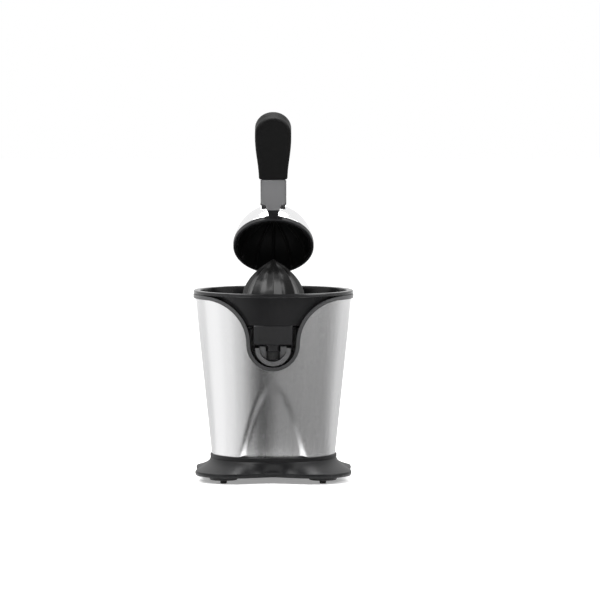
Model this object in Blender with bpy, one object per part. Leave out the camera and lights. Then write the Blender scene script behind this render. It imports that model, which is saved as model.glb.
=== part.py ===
"""Lever-arm citrus press: steel-clad motor housing, juice bowl, ribbed reamer and hinged press arm.

All sizes are in metres. The origin is on the floor under the reamer's axis, +Z is up and -Y is the
side of the spout. The press arm is drawn closed and then turned open about its hinge.
"""

from math import acos, cos, exp, pi, radians, sin, sqrt

import bmesh
import bpy
from mathutils import Matrix, Vector

MM = 0.001

# Clearances
GAP = 0.3 * MM  # between two pieces that rest on or stand beside each other
RUNNING_GAP = 0.3 * MM  # around a pin, shaft or screw

# Housing
RIM_RADIUS = 97.5 * MM
RIM_TOP_Z = 230.5 * MM
RIM_OVERHANG = 2.5 * MM  # how far the rim stands out over the steel
COLLAR_BAND = 5.0 * MM  # height of the collar's rim
BOWL_LIP = 4.2 * MM  # height of the bowl's lip on top of it
BODY_FOOT_RADIUS = 75.5 * MM
BASE_TOP_Z = 31.0 * MM
STEEL_WALL = 1.2 * MM
STEEL_SEAT = 3.0 * MM  # how deep the steel stands in the base
RECESS_DEPTH = 3.6 * MM  # the pressed-in arch on the front
RECESS_RISE = 91.0 * MM
RECESS_HALF_WIDTH = 42.0 * MM
RECESS_EDGE = 6.0 * MM
LINER_INSET = 5.0 * MM  # between the steel's inner face and the liner
LINER_WALL = 2.2 * MM
SKIRT_WALL = 2.5 * MM
DECK_DROP = 39.7 * MM  # from the rim's top down to the collar's deck
DECK_WALL = 2.5 * MM
DECK_HOLE_RADIUS = 50.0 * MM

# U-shaped surround of the spout
ARCH_RADIUS = 32.0 * MM
ARCH_DROP = 61.0 * MM  # from the rim's top down to the arch's centre
TRIM_WIDTH = 4.2 * MM
TRIM_PROUD = 1.5 * MM
TRIM_BITE = 0.4 * MM  # how far the trim's edge runs into the collar's rim

# Base
BASE_WALL = 2.6 * MM
BASE_LIP = 1.5 * MM
EAR_REACH = 111.0 * MM  # radius out to the four ears
SIDE_REACH = 91.5 * MM  # radius between them
FRONT_SCOOP = 19.5 * MM  # how far the front edge is set back for the glass
REAR_SCOOP = 5.5 * MM
SCOOP_SPREAD = radians(25)
EAR_EDGE_Z = 10.5 * MM
PAD_RADIUS = 17.0 * MM
PAD_X = 60.0 * MM
PAD_Y = 67.0 * MM
PAD_BOTTOM_Z = 4.5 * MM
FOOT_RADIUS = 4.0 * MM
COVER_WALL = 2.3 * MM
GLAND_RADIUS = 2.8 * MM
GLAND_BORE = 1.7 * MM
GLAND_Z = 11.3 * MM

# Bowl, strainer and reamer
BOWL_WALL = 2.0 * MM
BOWL_TUBE_RADIUS = 16.0 * MM
STRAINER_WALL = 1.4 * MM
LEDGE_RADIUS = 72.0 * MM
LEDGE_HEIGHT = 6.6 * MM
CONE_RADIUS = 39.5 * MM
CONE_HEIGHT = 63.0 * MM
CONE_FOOT_DROP = 25.5 * MM  # from the rim's top down to the reamer's foot
CONE_WALL = 2.6 * MM
FLUTE_DEPTH = 2.2 * MM
RIB_COUNT = 8

# Spout
SPOUT_BOX_HALF = 24.0 * MM
SPOUT_BOX_DROP = 62.0 * MM  # from the rim's top down to the box's underside
SPOUT_BOX_BACK = 62.0 * MM
SPOUT_RADIUS = 21.5 * MM
SPOUT_WALL = 5.0 * MM
SPOUT_REACH = 94.0 * MM
OUTLET_RADIUS = 7.0 * MM
OUTLET_Y = -77.0 * MM
SPOUT_PIN_RADIUS = 1.5 * MM
SPOUT_PIN_Y = -68.0 * MM

# Drive
SHAFT_RADIUS = 5.0 * MM
PRESS_TRAVEL = 2.5 * MM
GEARBOX_HEIGHT = 37.0 * MM
GEARBOX_WALL = 3.0 * MM
GEARBOX_FRONT_Y = -54.0 * MM
LID_WALL = 3.0 * MM
BIG_TEETH = 36
SMALL_TEETH = 9
FINE_MODULE_RATIO = 5 / 6  # module of the motor's gear pair over that of the output pair
INTERMEDIATE_ANGLE = radians(150)
MOTOR_ANGLE = radians(38)
OUTPUT_GEAR_WIDTH = 10.0 * MM
FINE_GEAR_WIDTH = 6.0 * MM
AXLE_RADIUS = 3.0 * MM
MOTOR_LENGTH = 82.0 * MM
MOTOR_SHAFT_RADIUS = 2.5 * MM
MOTOR_CAN_WALL = 2.0 * MM
PILLAR_RADIUS = 4.6 * MM
PILLAR_ANGLES = (41, 205, 320)
SCREW_RADIUS = 1.6 * MM
SCREW_HEAD_RADIUS = 3.0 * MM
SCREW_HEAD_HEIGHT = 2.0 * MM

# Press arm, drawn closed
HINGE_INSET = 17.5 * MM  # from the rim's outer edge in to the hinge pin
HINGE_RISE = 3.5 * MM  # from the rim's top up to the hinge pin
HINGE_PIN_RADIUS = 3.0 * MM
BARREL_WALL = 4.0 * MM
BARREL_HALF = 7.5 * MM
EAR_INSIDE = 14.3 * MM  # half the space between the bracket's ears
EAR_WALL = 4.0 * MM
OPEN_ANGLE = radians(45)
DOME_RADIUS = 49.2 * MM
DOME_HEIGHT = 54.0 * MM
DOME_WALL = 1.2 * MM
PRESS_PLANE_DROP = 8.5 * MM  # from the bowl's rim down to the closed dome's edge
RING_HEIGHT = 6.0 * MM
RING_WALL = 3.0 * MM
CUP_WALL = 2.2 * MM
HANDLE_ANGLE = radians(20)
NECK_START = 21.0 * MM
GRIP_START = 55.2 * MM
HANDLE_LENGTH = 138.6 * MM
NECK_HALF = 16.1 * MM
NECK_DEPTH = 13.0 * MM
NECK_WALL = 1.4 * MM
TANG_HALF = 6.0 * MM
INSERT_WALL = 1.9 * MM
GRIP_HALF_START = 17.4 * MM
GRIP_HALF = 21.9 * MM
GRIP_BELOW = 3.0 * MM
GRIP_ABOVE = 17.0 * MM

# Heights and radii that follow from them
COLLAR_TOP_Z = RIM_TOP_Z - BOWL_LIP - GAP
COLLAR_BOTTOM_Z = COLLAR_TOP_Z - COLLAR_BAND
SHELL_TOP_Z = COLLAR_BOTTOM_Z - GAP
SHELL_BOTTOM_Z = BASE_TOP_Z - STEEL_SEAT
DECK_TOP_Z = RIM_TOP_Z - DECK_DROP
DECK_BOTTOM_Z = DECK_TOP_Z - DECK_WALL
ARCH_Z = RIM_TOP_Z - ARCH_DROP
FLARE_RADIUS = COLLAR_BOTTOM_Z + TRIM_BITE - ARCH_Z
BOWL_BOTTOM_Z = DECK_TOP_Z + GAP
BOWL_FLOOR_Z = BOWL_BOTTOM_Z + BOWL_WALL
STRAINER_Z = BOWL_FLOOR_Z + LEDGE_HEIGHT + GAP
CONE_FOOT_Z = RIM_TOP_Z - CONE_FOOT_DROP
CONE_TOP_Z = CONE_FOOT_Z + CONE_HEIGHT
SHAFT_TOP_Z = CONE_TOP_Z - 28 * MM
HUB_RADIUS = SHAFT_RADIUS + 4 * MM
HUB_BOTTOM_Z = CONE_FOOT_Z + 4.5 * MM
BOSS_RADIUS = SHAFT_RADIUS + 5.5 * MM
BOSS_TOP_Z = HUB_BOTTOM_Z - PRESS_TRAVEL - 1 * MM
LID_TOP_Z = DECK_BOTTOM_Z - GAP
LID_BOTTOM_Z = LID_TOP_Z - LID_WALL
GEARBOX_Z = LID_BOTTOM_Z - GAP - GEARBOX_HEIGHT
SHAFT_BOTTOM_Z = GEARBOX_Z - 10.5 * MM
MOTOR_TOP_Z = GEARBOX_Z - GAP
MOTOR_BOTTOM_Z = MOTOR_TOP_Z - MOTOR_LENGTH
FLOOR_RING_Z = BASE_TOP_Z - 10 * MM
SPOUT_BOX_Z = RIM_TOP_Z - SPOUT_BOX_DROP
SPOUT_CENTRE_Z = SPOUT_BOX_Z - 3 * MM
SPOUT_PIN_Z = SPOUT_CENTRE_Z - 2.3 * MM
HINGE_Y = RIM_RADIUS - HINGE_INSET
HINGE_Z = RIM_TOP_Z + HINGE_RISE
PRESS_PLANE_Z = RIM_TOP_Z - PRESS_PLANE_DROP
BARREL_RADIUS = HINGE_PIN_RADIUS + BARREL_WALL
STOP_REACH = BARREL_RADIUS + 5.5 * MM  # from the hinge pin to the tip of the stop
BLOCK_TOP_Z = HINGE_Z - BARREL_RADIUS - 8 * MM
BLOCK_HEIGHT = 10 * MM
NOTCH_HALF = EAR_INSIDE + EAR_WALL + 4.5 * MM  # half width of the notch in the bowl for the bracket
NOTCH_Y = HINGE_Y - 14.5 * MM
RING_TOP_Z = PRESS_PLANE_Z + RING_HEIGHT
TANG_TOP = NECK_DEPTH - NECK_WALL - GAP
TANG_BOTTOM = INSERT_WALL + 2 * GAP + 0.1 * MM
TANG_END = HANDLE_LENGTH - 10 * MM


def shell_radius(z):
    """Outer radius of the steel at height z."""
    taper = (RIM_RADIUS - RIM_OVERHANG - BODY_FOOT_RADIUS) / (SHELL_TOP_Z - BASE_TOP_Z)
    return BODY_FOOT_RADIUS + taper * (z - BASE_TOP_Z)


def skirt_inner(z):
    """Inner radius of the collar's skirt at height z."""
    return shell_radius(z) - STEEL_WALL - GAP - SKIRT_WALL


def bowl_outer(z):
    """Outer radius of the bowl's wall at height z."""
    return skirt_inner(z) - 0.5 * MM


def liner_outer(z):
    """Outer radius of the liner at height z."""
    return shell_radius(z) - STEEL_WALL - LINER_INSET


GEARBOX_RADIUS = min(liner_outer(GEARBOX_Z), liner_outer(MOTOR_BOTTOM_Z)) - LINER_WALL - 0.5 * MM
CHAMBER_RADIUS = GEARBOX_RADIUS - GEARBOX_WALL
ADDENDUM = 0.8
DEDENDUM = 1.05
OUTPUT_MODULE = (CHAMBER_RADIUS - 1 * MM) / (
    (BIG_TEETH + SMALL_TEETH) / 2 + (BIG_TEETH / 2 + ADDENDUM) * FINE_MODULE_RATIO
)
FINE_MODULE = OUTPUT_MODULE * FINE_MODULE_RATIO
INTERMEDIATE_DISTANCE = OUTPUT_MODULE * (BIG_TEETH + SMALL_TEETH) / 2
MOTOR_DISTANCE = FINE_MODULE * (BIG_TEETH + SMALL_TEETH) / 2
INTERMEDIATE_AT = Vector(
    (INTERMEDIATE_DISTANCE * cos(INTERMEDIATE_ANGLE), INTERMEDIATE_DISTANCE * sin(INTERMEDIATE_ANGLE))
)
MOTOR_AT = INTERMEDIATE_AT + Vector((MOTOR_DISTANCE * cos(MOTOR_ANGLE), MOTOR_DISTANCE * sin(MOTOR_ANGLE)))
MOTOR_RADIUS = GEARBOX_RADIUS - MOTOR_AT.length - 1 * MM
PILLAR_CIRCLE = CHAMBER_RADIUS - PILLAR_RADIUS + 0.5 * MM

FINISHES = {
    "black_plastic": ((0.020, 0.020, 0.021), 0.42, 0.0),
    "smoke_plastic": ((0.045, 0.045, 0.047), 0.30, 0.0),
    "reamer_plastic": ((0.030, 0.030, 0.031), 0.35, 0.0),
    "soft_grip": ((0.012, 0.012, 0.013), 0.60, 0.0),
    "grey_plastic": ((0.230, 0.230, 0.235), 0.40, 0.0),
    "white_plastic": ((0.700, 0.700, 0.680), 0.45, 0.0),
    "brushed_steel": ((0.620, 0.620, 0.625), 0.30, 1.0),
    "polished_steel": ((0.780, 0.780, 0.785), 0.12, 1.0),
    "plain_steel": ((0.450, 0.450, 0.460), 0.35, 1.0),
    "spring_steel": ((0.300, 0.300, 0.310), 0.35, 1.0),
    "copper": ((0.720, 0.330, 0.160), 0.35, 1.0),
    "bronze": ((0.560, 0.360, 0.160), 0.40, 1.0),
    "rubber": ((0.015, 0.015, 0.015), 0.80, 0.0),
    "zinc_casting": ((0.030, 0.030, 0.032), 0.45, 0.2),
}


# ---------------------------------------------------------------- making meshes


def skinned(loops, capped=False):
    """Quads from each loop of points to the next, closed round or with a cap at each end."""
    bm = bmesh.new()
    rows = [[bm.verts.new(point) for point in loop] for loop in loops]
    pairs = list(zip(rows, rows[1:])) if capped else list(zip(rows, rows[1:] + rows[:1]))
    for near, far in pairs:
        for i in range(len(near)):
            j = (i + 1) % len(near)
            bm.faces.new((near[i], near[j], far[j], far[i]))
    if capped:
        bm.faces.new(rows[0])
        bm.faces.new(rows[-1])
    bmesh.ops.recalc_face_normals(bm, faces=bm.faces)
    return bm


def turned(outline, steps=32, at=(0, 0)):
    """The outline, given as (radius, height) points, spun round a vertical axis.

    An outline whose first and last points are on the axis is left open there.
    """
    bm = bmesh.new()
    points = [bm.verts.new((r, 0, z)) for r, z in outline]
    ends = [] if outline[0][0] == outline[-1][0] == 0 else [(points[-1], points[0])]
    edges = [bm.edges.new(pair) for pair in list(zip(points, points[1:])) + ends]
    bmesh.ops.spin(
        bm, geom=points + edges, cent=(0, 0, 0), axis=(0, 0, 1), angle=2 * pi, steps=steps, use_merge=True
    )
    bmesh.ops.remove_doubles(bm, verts=bm.verts, dist=0.001 * MM)
    bmesh.ops.recalc_face_normals(bm, faces=bm.faces)
    bmesh.ops.translate(bm, verts=bm.verts, vec=(at[0], at[1], 0))
    return bm


def extruded(outline, low, high, axis="Z"):
    """The outline, drawn across an axis, pulled from low to high along it.

    Its points are (y, z) across X, (x, z) across Y and (x, y) across Z.
    """
    orders = {"X": lambda a, b, c: (c, a, b), "Y": lambda a, b, c: (a, c, b), "Z": lambda a, b, c: (a, b, c)}
    place = orders[axis]
    return skinned([[place(a, b, c) for a, b in outline] for c in (low, high)], capped=True)


def box(low, high):
    """A block between two opposite corners."""
    (x0, y0, z0), (x1, y1, z1) = low, high
    return extruded([(x0, y0), (x1, y0), (x1, y1), (x0, y1)], z0, z1)


def disc(radius, low, high, steps=16, at=(0, 0)):
    """A solid round bar or plate between two heights."""
    return turned([(0, low), (radius, low), (radius, high), (0, high)], steps, at)


def ring(inner, outer, low, high, steps=24, at=(0, 0)):
    """A tube or washer between two heights."""
    return turned([(inner, low), (outer, low), (outer, high), (inner, high)], steps, at)


def along(bm, axis, at):
    """Lays an upright mesh along +X or +Y, with its foot on the origin moved to a point."""
    turn = Matrix.Rotation(pi / 2, 4, "Y") if axis == "X" else Matrix.Rotation(-pi / 2, 4, "X")
    bmesh.ops.transform(bm, matrix=Matrix.Translation(at) @ turn, verts=bm.verts)
    return bm


def arc(centre, radius, start, end, steps):
    """Points on an arc, in degrees, with both ends."""
    angles = [radians(start + (end - start) * i / steps) for i in range(steps + 1)]
    return [(centre[0] + radius * cos(a), centre[1] + radius * sin(a)) for a in angles]


def coil(radius, wire, length, turns):
    """A helical spring round +Z with its foot on the origin."""
    steps, sides = 9, 5
    loops = []
    count = turns * steps
    for i in range(count + 1):
        outward = Vector((cos(2 * pi * i / steps), sin(2 * pi * i / steps), 0))
        centre = outward * radius + Vector((0, 0, wire / 2 + (length - wire) * i / count))
        angles = [2 * pi * k / sides for k in range(sides)]
        loops.append([centre + (outward * cos(a) + Vector((0, 0, sin(a)))) * wire / 2 for a in angles])
    return skinned(loops, capped=True)


def gear(teeth, module, width, low, at, first_tooth):
    """Straight-flanked teeth with backlash. first_tooth is the direction of one tooth's middle."""
    pitch = teeth * module / 2
    steps = ((pitch - DEDENDUM * module, -0.30), (pitch + ADDENDUM * module, -0.12))
    steps += tuple((radius, -share) for radius, share in reversed(steps))
    outline = []
    for k in range(teeth):
        for radius, share in steps:
            angle = first_tooth + 2 * pi * (k + share) / teeth
            outline.append((at[0] + radius * cos(angle), at[1] + radius * sin(angle)))
    return extruded(outline, low, low + width)


# ---------------------------------------------------------------- placing objects


def pivot(name, location, rotation=(0, 0, 0)):
    """An empty on a joint's axis, which carries that joint's pieces."""
    empty = bpy.data.objects.new(name, None)
    empty.location = location
    empty.rotation_euler = rotation
    bpy.context.scene.collection.objects.link(empty)
    return empty


def placed(name, bm, carrier):
    """An object made from a mesh drawn in world coordinates, carried by a pivot or standing free."""
    mesh = bpy.data.meshes.new(name)
    bm.to_mesh(mesh)
    bm.free()
    item = bpy.data.objects.new(name, mesh)
    bpy.context.scene.collection.objects.link(item)
    if carrier:
        item.parent = carrier
        item.location = -carrier.location
    return item


def add_piece(name, bm, finish, carrier=None):
    """A sub-part with its own material, smooth where it is round."""
    piece = placed(name, bm, carrier)
    colour, roughness, metallic = FINISHES[finish]
    material = bpy.data.materials.new(name)
    material.use_nodes = True
    shader = material.node_tree.nodes["Principled BSDF"]
    shader.inputs["Base Color"].default_value = (*colour, 1)
    shader.inputs["Roughness"].default_value = roughness
    shader.inputs["Metallic"].default_value = metallic
    piece.data.materials.append(material)
    piece.data.shade_smooth()
    piece.data.set_sharp_from_angle(angle=radians(35))
    return piece


def shaping_tool(name, bm, carrier=None):
    """A shape that only cuts or joins, and isn't a piece itself."""
    tool = placed(name, bm, carrier)
    tool.hide_render = True
    tool.display_type = "WIRE"
    return tool


def combine(piece, tool, operation):
    """Changes a piece by another object's shape, and merges the slivers that leaves."""
    modifier = piece.modifiers.new(operation.title(), "BOOLEAN")
    modifier.operation = operation
    modifier.object = tool
    piece.modifiers.new("Weld", "WELD").merge_threshold = 0.002 * MM


def carve(piece, bm, operation="DIFFERENCE"):
    """Cuts a shape out of a piece, joins it on, or keeps only what both fill."""
    combine(piece, shaping_tool(f"{piece.name}_tool", bm, piece.parent), operation)


def add_screw(name, at, head_z, tip_z, carrier=None):
    """A pan-head screw on a vertical axis, its head ending at head_z and its tip at tip_z."""
    way = 1 if head_z > tip_z else -1
    neck_z = head_z - way * SCREW_HEAD_HEIGHT
    outline = [(0, tip_z), (SCREW_RADIUS, tip_z), (SCREW_RADIUS, neck_z), (SCREW_HEAD_RADIUS, neck_z)]
    outline += [(SCREW_HEAD_RADIUS, head_z - way * 0.6 * MM), (SCREW_HEAD_RADIUS * 0.7, head_z), (0, head_z)]
    return add_piece(name, turned(outline, 8, at), "plain_steel", carrier)


# ---------------------------------------------------------------- base


def ear_reach(angle):
    """Plan radius of the base's edge: four ears, with the front and rear edges set back between them."""
    lobes = SIDE_REACH + (EAR_REACH - SIDE_REACH) * (sin(2 * angle) ** 2) ** 0.8
    from_rear = abs((angle + 0.5 * pi) % (2 * pi) - pi)
    front = FRONT_SCOOP * exp(-(((pi - from_rear) / SCOOP_SPREAD) ** 2))
    rear = REAR_SCOOP * exp(-((from_rear / SCOOP_SPREAD) ** 2))
    return lobes - front - rear


def base_section(angle):
    """The base's wall at one angle: lip, flare out to the edge, hollow underside and floor ring."""
    top = shell_radius(BASE_TOP_Z) + GAP
    lip = top + BASE_LIP
    reach = ear_reach(angle)
    flare = reach - lip
    drop = FLOOR_RING_Z - EAR_EDGE_Z
    outer = [
        (top, BASE_TOP_Z),
        (lip, BASE_TOP_Z),
        (lip, BASE_TOP_Z - 5 * MM),
        (lip + 0.08 * flare, FLOOR_RING_Z + 1 * MM),
        (lip + 0.55 * flare, FLOOR_RING_Z - 0.45 * drop),
        (reach - 1 * MM, EAR_EDGE_Z + 2 * MM),
        (reach, EAR_EDGE_Z),
        (reach - 1.5 * MM, EAR_EDGE_Z - 3 * MM),
    ]
    inner = [
        (reach - 4.5 * MM, EAR_EDGE_Z - 2.6 * MM),
        (reach - 5 * MM, EAR_EDGE_Z),
        (lip + 0.45 * flare, FLOOR_RING_Z - 0.45 * drop - BASE_WALL),
        (top - 2 * MM, FLOOR_RING_Z - BASE_WALL),
        (top - 12 * MM, FLOOR_RING_Z - BASE_WALL),
        (top - 12 * MM, FLOOR_RING_Z),
        (top - STEEL_WALL - 2 * MM, FLOOR_RING_Z),
        (top - STEEL_WALL - 2 * MM, SHELL_BOTTOM_Z - GAP),
        (top, SHELL_BOTTOM_Z - GAP),
    ]
    return [(r * cos(angle), r * sin(angle), z) for r, z in outer + inner]


def pad_places():
    """Names and centres of the base's four pads."""
    return {
        f"{end}_{side}": (x, y)
        for end, y in (("front", -PAD_Y), ("rear", PAD_Y))
        for side, x in (("left", -PAD_X), ("right", PAD_X))
    }


def make_base():
    """The flared base with its feet, bottom cover, cover screws and cord gland."""
    sections = 48
    base = add_piece(
        "base_moulding",
        skinned([base_section(2 * pi * i / sections) for i in range(sections)]),
        "black_plastic",
    )
    for at in pad_places().values():
        carve(base, disc(PAD_RADIUS, PAD_BOTTOM_Z, EAR_EDGE_Z + 2.2 * MM, 16, at), "UNION")
    edge_y = ear_reach(pi / 2)
    gland_hole = disc(GLAND_RADIUS + GAP, 0, 30 * MM, 16)
    carve(base, along(gland_hole, "Y", (0, edge_y - 8.5 * MM, GLAND_Z)))
    screw_circle = shell_radius(BASE_TOP_Z) - 7.5 * MM
    screws = [(screw_circle * cos(radians(a)), screw_circle * sin(radians(a))) for a in (20, 110, 200, 290)]
    cover_z = FLOOR_RING_Z - BASE_WALL - GAP - COVER_WALL
    cover = add_piece(
        "bottom_cover", disc(screw_circle + 4 * MM, cover_z, cover_z + COVER_WALL, 32), "black_plastic"
    )
    for at in screws:
        hole = disc(SCREW_RADIUS + RUNNING_GAP, cover_z - 5 * MM, FLOOR_RING_Z + 5 * MM, 8, at)
        carve(base, hole.copy())
        carve(cover, hole)
    for x in (-30, -10, 10, 30):
        carve(
            cover,
            box((x * MM - 3 * MM, -30 * MM, cover_z - 5 * MM), (x * MM + 3 * MM, 30 * MM, cover_z + 8 * MM)),
        )
    for index, at in enumerate(screws, 1):
        add_screw(f"base_screw_{index}", at, cover_z - GAP - SCREW_HEAD_HEIGHT, FLOOR_RING_Z - 0.4 * MM)
    for name, (x, y) in pad_places().items():
        foot = [
            (0, 0), (FOOT_RADIUS - 0.8 * MM, 0), (FOOT_RADIUS, 0.8 * MM), (FOOT_RADIUS, PAD_BOTTOM_Z - GAP)
        ]
        add_piece(f"rubber_foot_{name}", turned(foot + [(0, PAD_BOTTOM_Z - GAP)], 12, (x, y)), "rubber")
    flange = GLAND_RADIUS + 1.2 * MM
    inlet = [(GLAND_BORE, 0), (flange, 0), (flange, 2 * MM), (GLAND_RADIUS, 2 * MM)]
    inlet += [(GLAND_RADIUS, 15 * MM), (GLAND_BORE, 15 * MM)]
    add_piece("cord_gland", along(turned(inlet, 12), "Y", (0, edge_y - 11 * MM, GLAND_Z)), "rubber")


# ---------------------------------------------------------------- housing


def recess_depth(x, z):
    """How far the steel is pressed in at a point of the front."""
    below = SHELL_BOTTOM_Z + RECESS_RISE + STEEL_SEAT - z
    if below <= 0:
        return 0.0
    inside = (RECESS_HALF_WIDTH * sqrt(below / RECESS_RISE) - abs(x)) / RECESS_EDGE
    share = min(max(inside, 0.0), 1.0)
    fade = min(below / (3 * RECESS_EDGE), 1.0)
    return RECESS_DEPTH * fade * share * share * (3 - 2 * share)


def steel_section(angle, heights):
    """The steel's wall at one angle."""
    front = angle > pi
    points = []
    for inset, rows in ((0, heights), (STEEL_WALL, heights[::-1])):
        for z in rows:
            r = shell_radius(z)
            r -= inset + (recess_depth(r * cos(angle), z) if front else 0)
            points.append((r * cos(angle), r * sin(angle), z))
    return points


def arch_outline(inset, top_z):
    """The U round the spout, flaring up to the rim: a half circle and two arcs, drawn across Y."""
    centre_x = ARCH_RADIUS + FLARE_RADIUS
    flare = FLARE_RADIUS + inset
    right = arc((centre_x, ARCH_Z), flare, 180, 90, 8) + [(centre_x, top_z)]
    bottom = arc((0, ARCH_Z), ARCH_RADIUS - inset, 180, 360, 14)
    left = [(-x, z) for x, z in reversed(right)]
    return left[:-1] + bottom + right[1:]


def make_housing():
    """The steel sheath, the liner inside it, and the collar with its U-shaped surround."""
    front = [radians(270 + a) for a in range(-40, 41, 5)]
    around = [radians(315 + 7.5 * i) for i in range(37)]
    lower = SHELL_BOTTOM_Z
    heights = [lower, lower + 14 * MM, lower + 30 * MM, lower + 46 * MM, lower + 62 * MM, lower + 78 * MM]
    heights += [lower + 94 * MM, SHELL_TOP_Z]
    steel = add_piece(
        "steel_shell",
        skinned([steel_section(a % (2 * pi), heights) for a in front + around]),
        "brushed_steel",
    )
    deep = -(RIM_RADIUS + 30 * MM)
    carve(steel, extruded(arch_outline(-GAP, COLLAR_TOP_Z), deep, -20 * MM, "Y"))

    liner_top = DECK_BOTTOM_Z - GAP
    liner_foot = FLOOR_RING_Z + GAP
    outline = [
        (liner_outer(liner_foot) - LINER_WALL, liner_foot),
        (liner_outer(liner_foot), liner_foot),
        (liner_outer(liner_top), liner_top),
        (liner_outer(liner_top) - LINER_WALL, liner_top),
    ]
    liner = add_piece("inner_housing", turned(outline, 32), "black_plastic")
    window_half = ARCH_RADIUS - TRIM_WIDTH
    carve(
        liner, box((-window_half, deep, ARCH_Z - ARCH_RADIUS), (window_half, -20 * MM, liner_top + 10 * MM))
    )

    outline = [
        (DECK_HOLE_RADIUS, DECK_BOTTOM_Z),
        (skirt_inner(DECK_BOTTOM_Z) + SKIRT_WALL, DECK_BOTTOM_Z),
        (skirt_inner(COLLAR_BOTTOM_Z) + SKIRT_WALL, COLLAR_BOTTOM_Z),
        (RIM_RADIUS, COLLAR_BOTTOM_Z),
        (RIM_RADIUS, COLLAR_TOP_Z),
        (skirt_inner(COLLAR_TOP_Z), COLLAR_TOP_Z),
        (skirt_inner(DECK_TOP_Z), DECK_TOP_Z),
        (DECK_HOLE_RADIUS, DECK_TOP_Z),
    ]
    collar = add_piece("top_collar", turned(outline, 48), "black_plastic")
    low = ARCH_Z - ARCH_RADIUS - 4 * MM
    high = COLLAR_TOP_Z - 0.6 * MM
    back = STEEL_WALL + GAP + SKIRT_WALL - 0.5 * MM
    plate = turned(
        [
            (shell_radius(low) - back, low),
            (shell_radius(low) + TRIM_PROUD, low),
            (shell_radius(high) + TRIM_PROUD, high),
            (shell_radius(high) - back, high),
        ],
        64,
    )
    surround = shaping_tool("surround_plate", plate)
    carve(surround, extruded(arch_outline(0, COLLAR_TOP_Z + 5 * MM), deep, -20 * MM, "Y"), "INTERSECT")
    combine(collar, surround, "UNION")
    carve(collar, extruded(arch_outline(TRIM_WIDTH, RIM_TOP_Z + 10 * MM), deep, -20 * MM, "Y"))
    block_radius = skirt_inner(BLOCK_TOP_Z - BLOCK_HEIGHT) + SKIRT_WALL - 0.3 * MM
    half = EAR_INSIDE + EAR_WALL + 2.5 * MM
    block_back = arc((0, 0), block_radius, 90 - 14, 90 + 14, 4)
    block = [(-half, HINGE_Y - 13.5 * MM), (half, HINGE_Y - 13.5 * MM)]
    block += [(x * half / block_back[0][0], y) for x, y in block_back]
    carve(collar, extruded(block, BLOCK_TOP_Z - BLOCK_HEIGHT, BLOCK_TOP_Z), "UNION")
    for at in pillar_places():
        carve(collar, disc(SCREW_RADIUS + RUNNING_GAP, DECK_BOTTOM_Z - 5 * MM, DECK_TOP_Z + 5 * MM, 8, at))
    for at in bracket_screw_places():
        carve(collar, disc(SCREW_RADIUS + RUNNING_GAP, BLOCK_TOP_Z - 7 * MM, BLOCK_TOP_Z + 9 * MM, 10, at))


# ---------------------------------------------------------------- bowl


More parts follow.
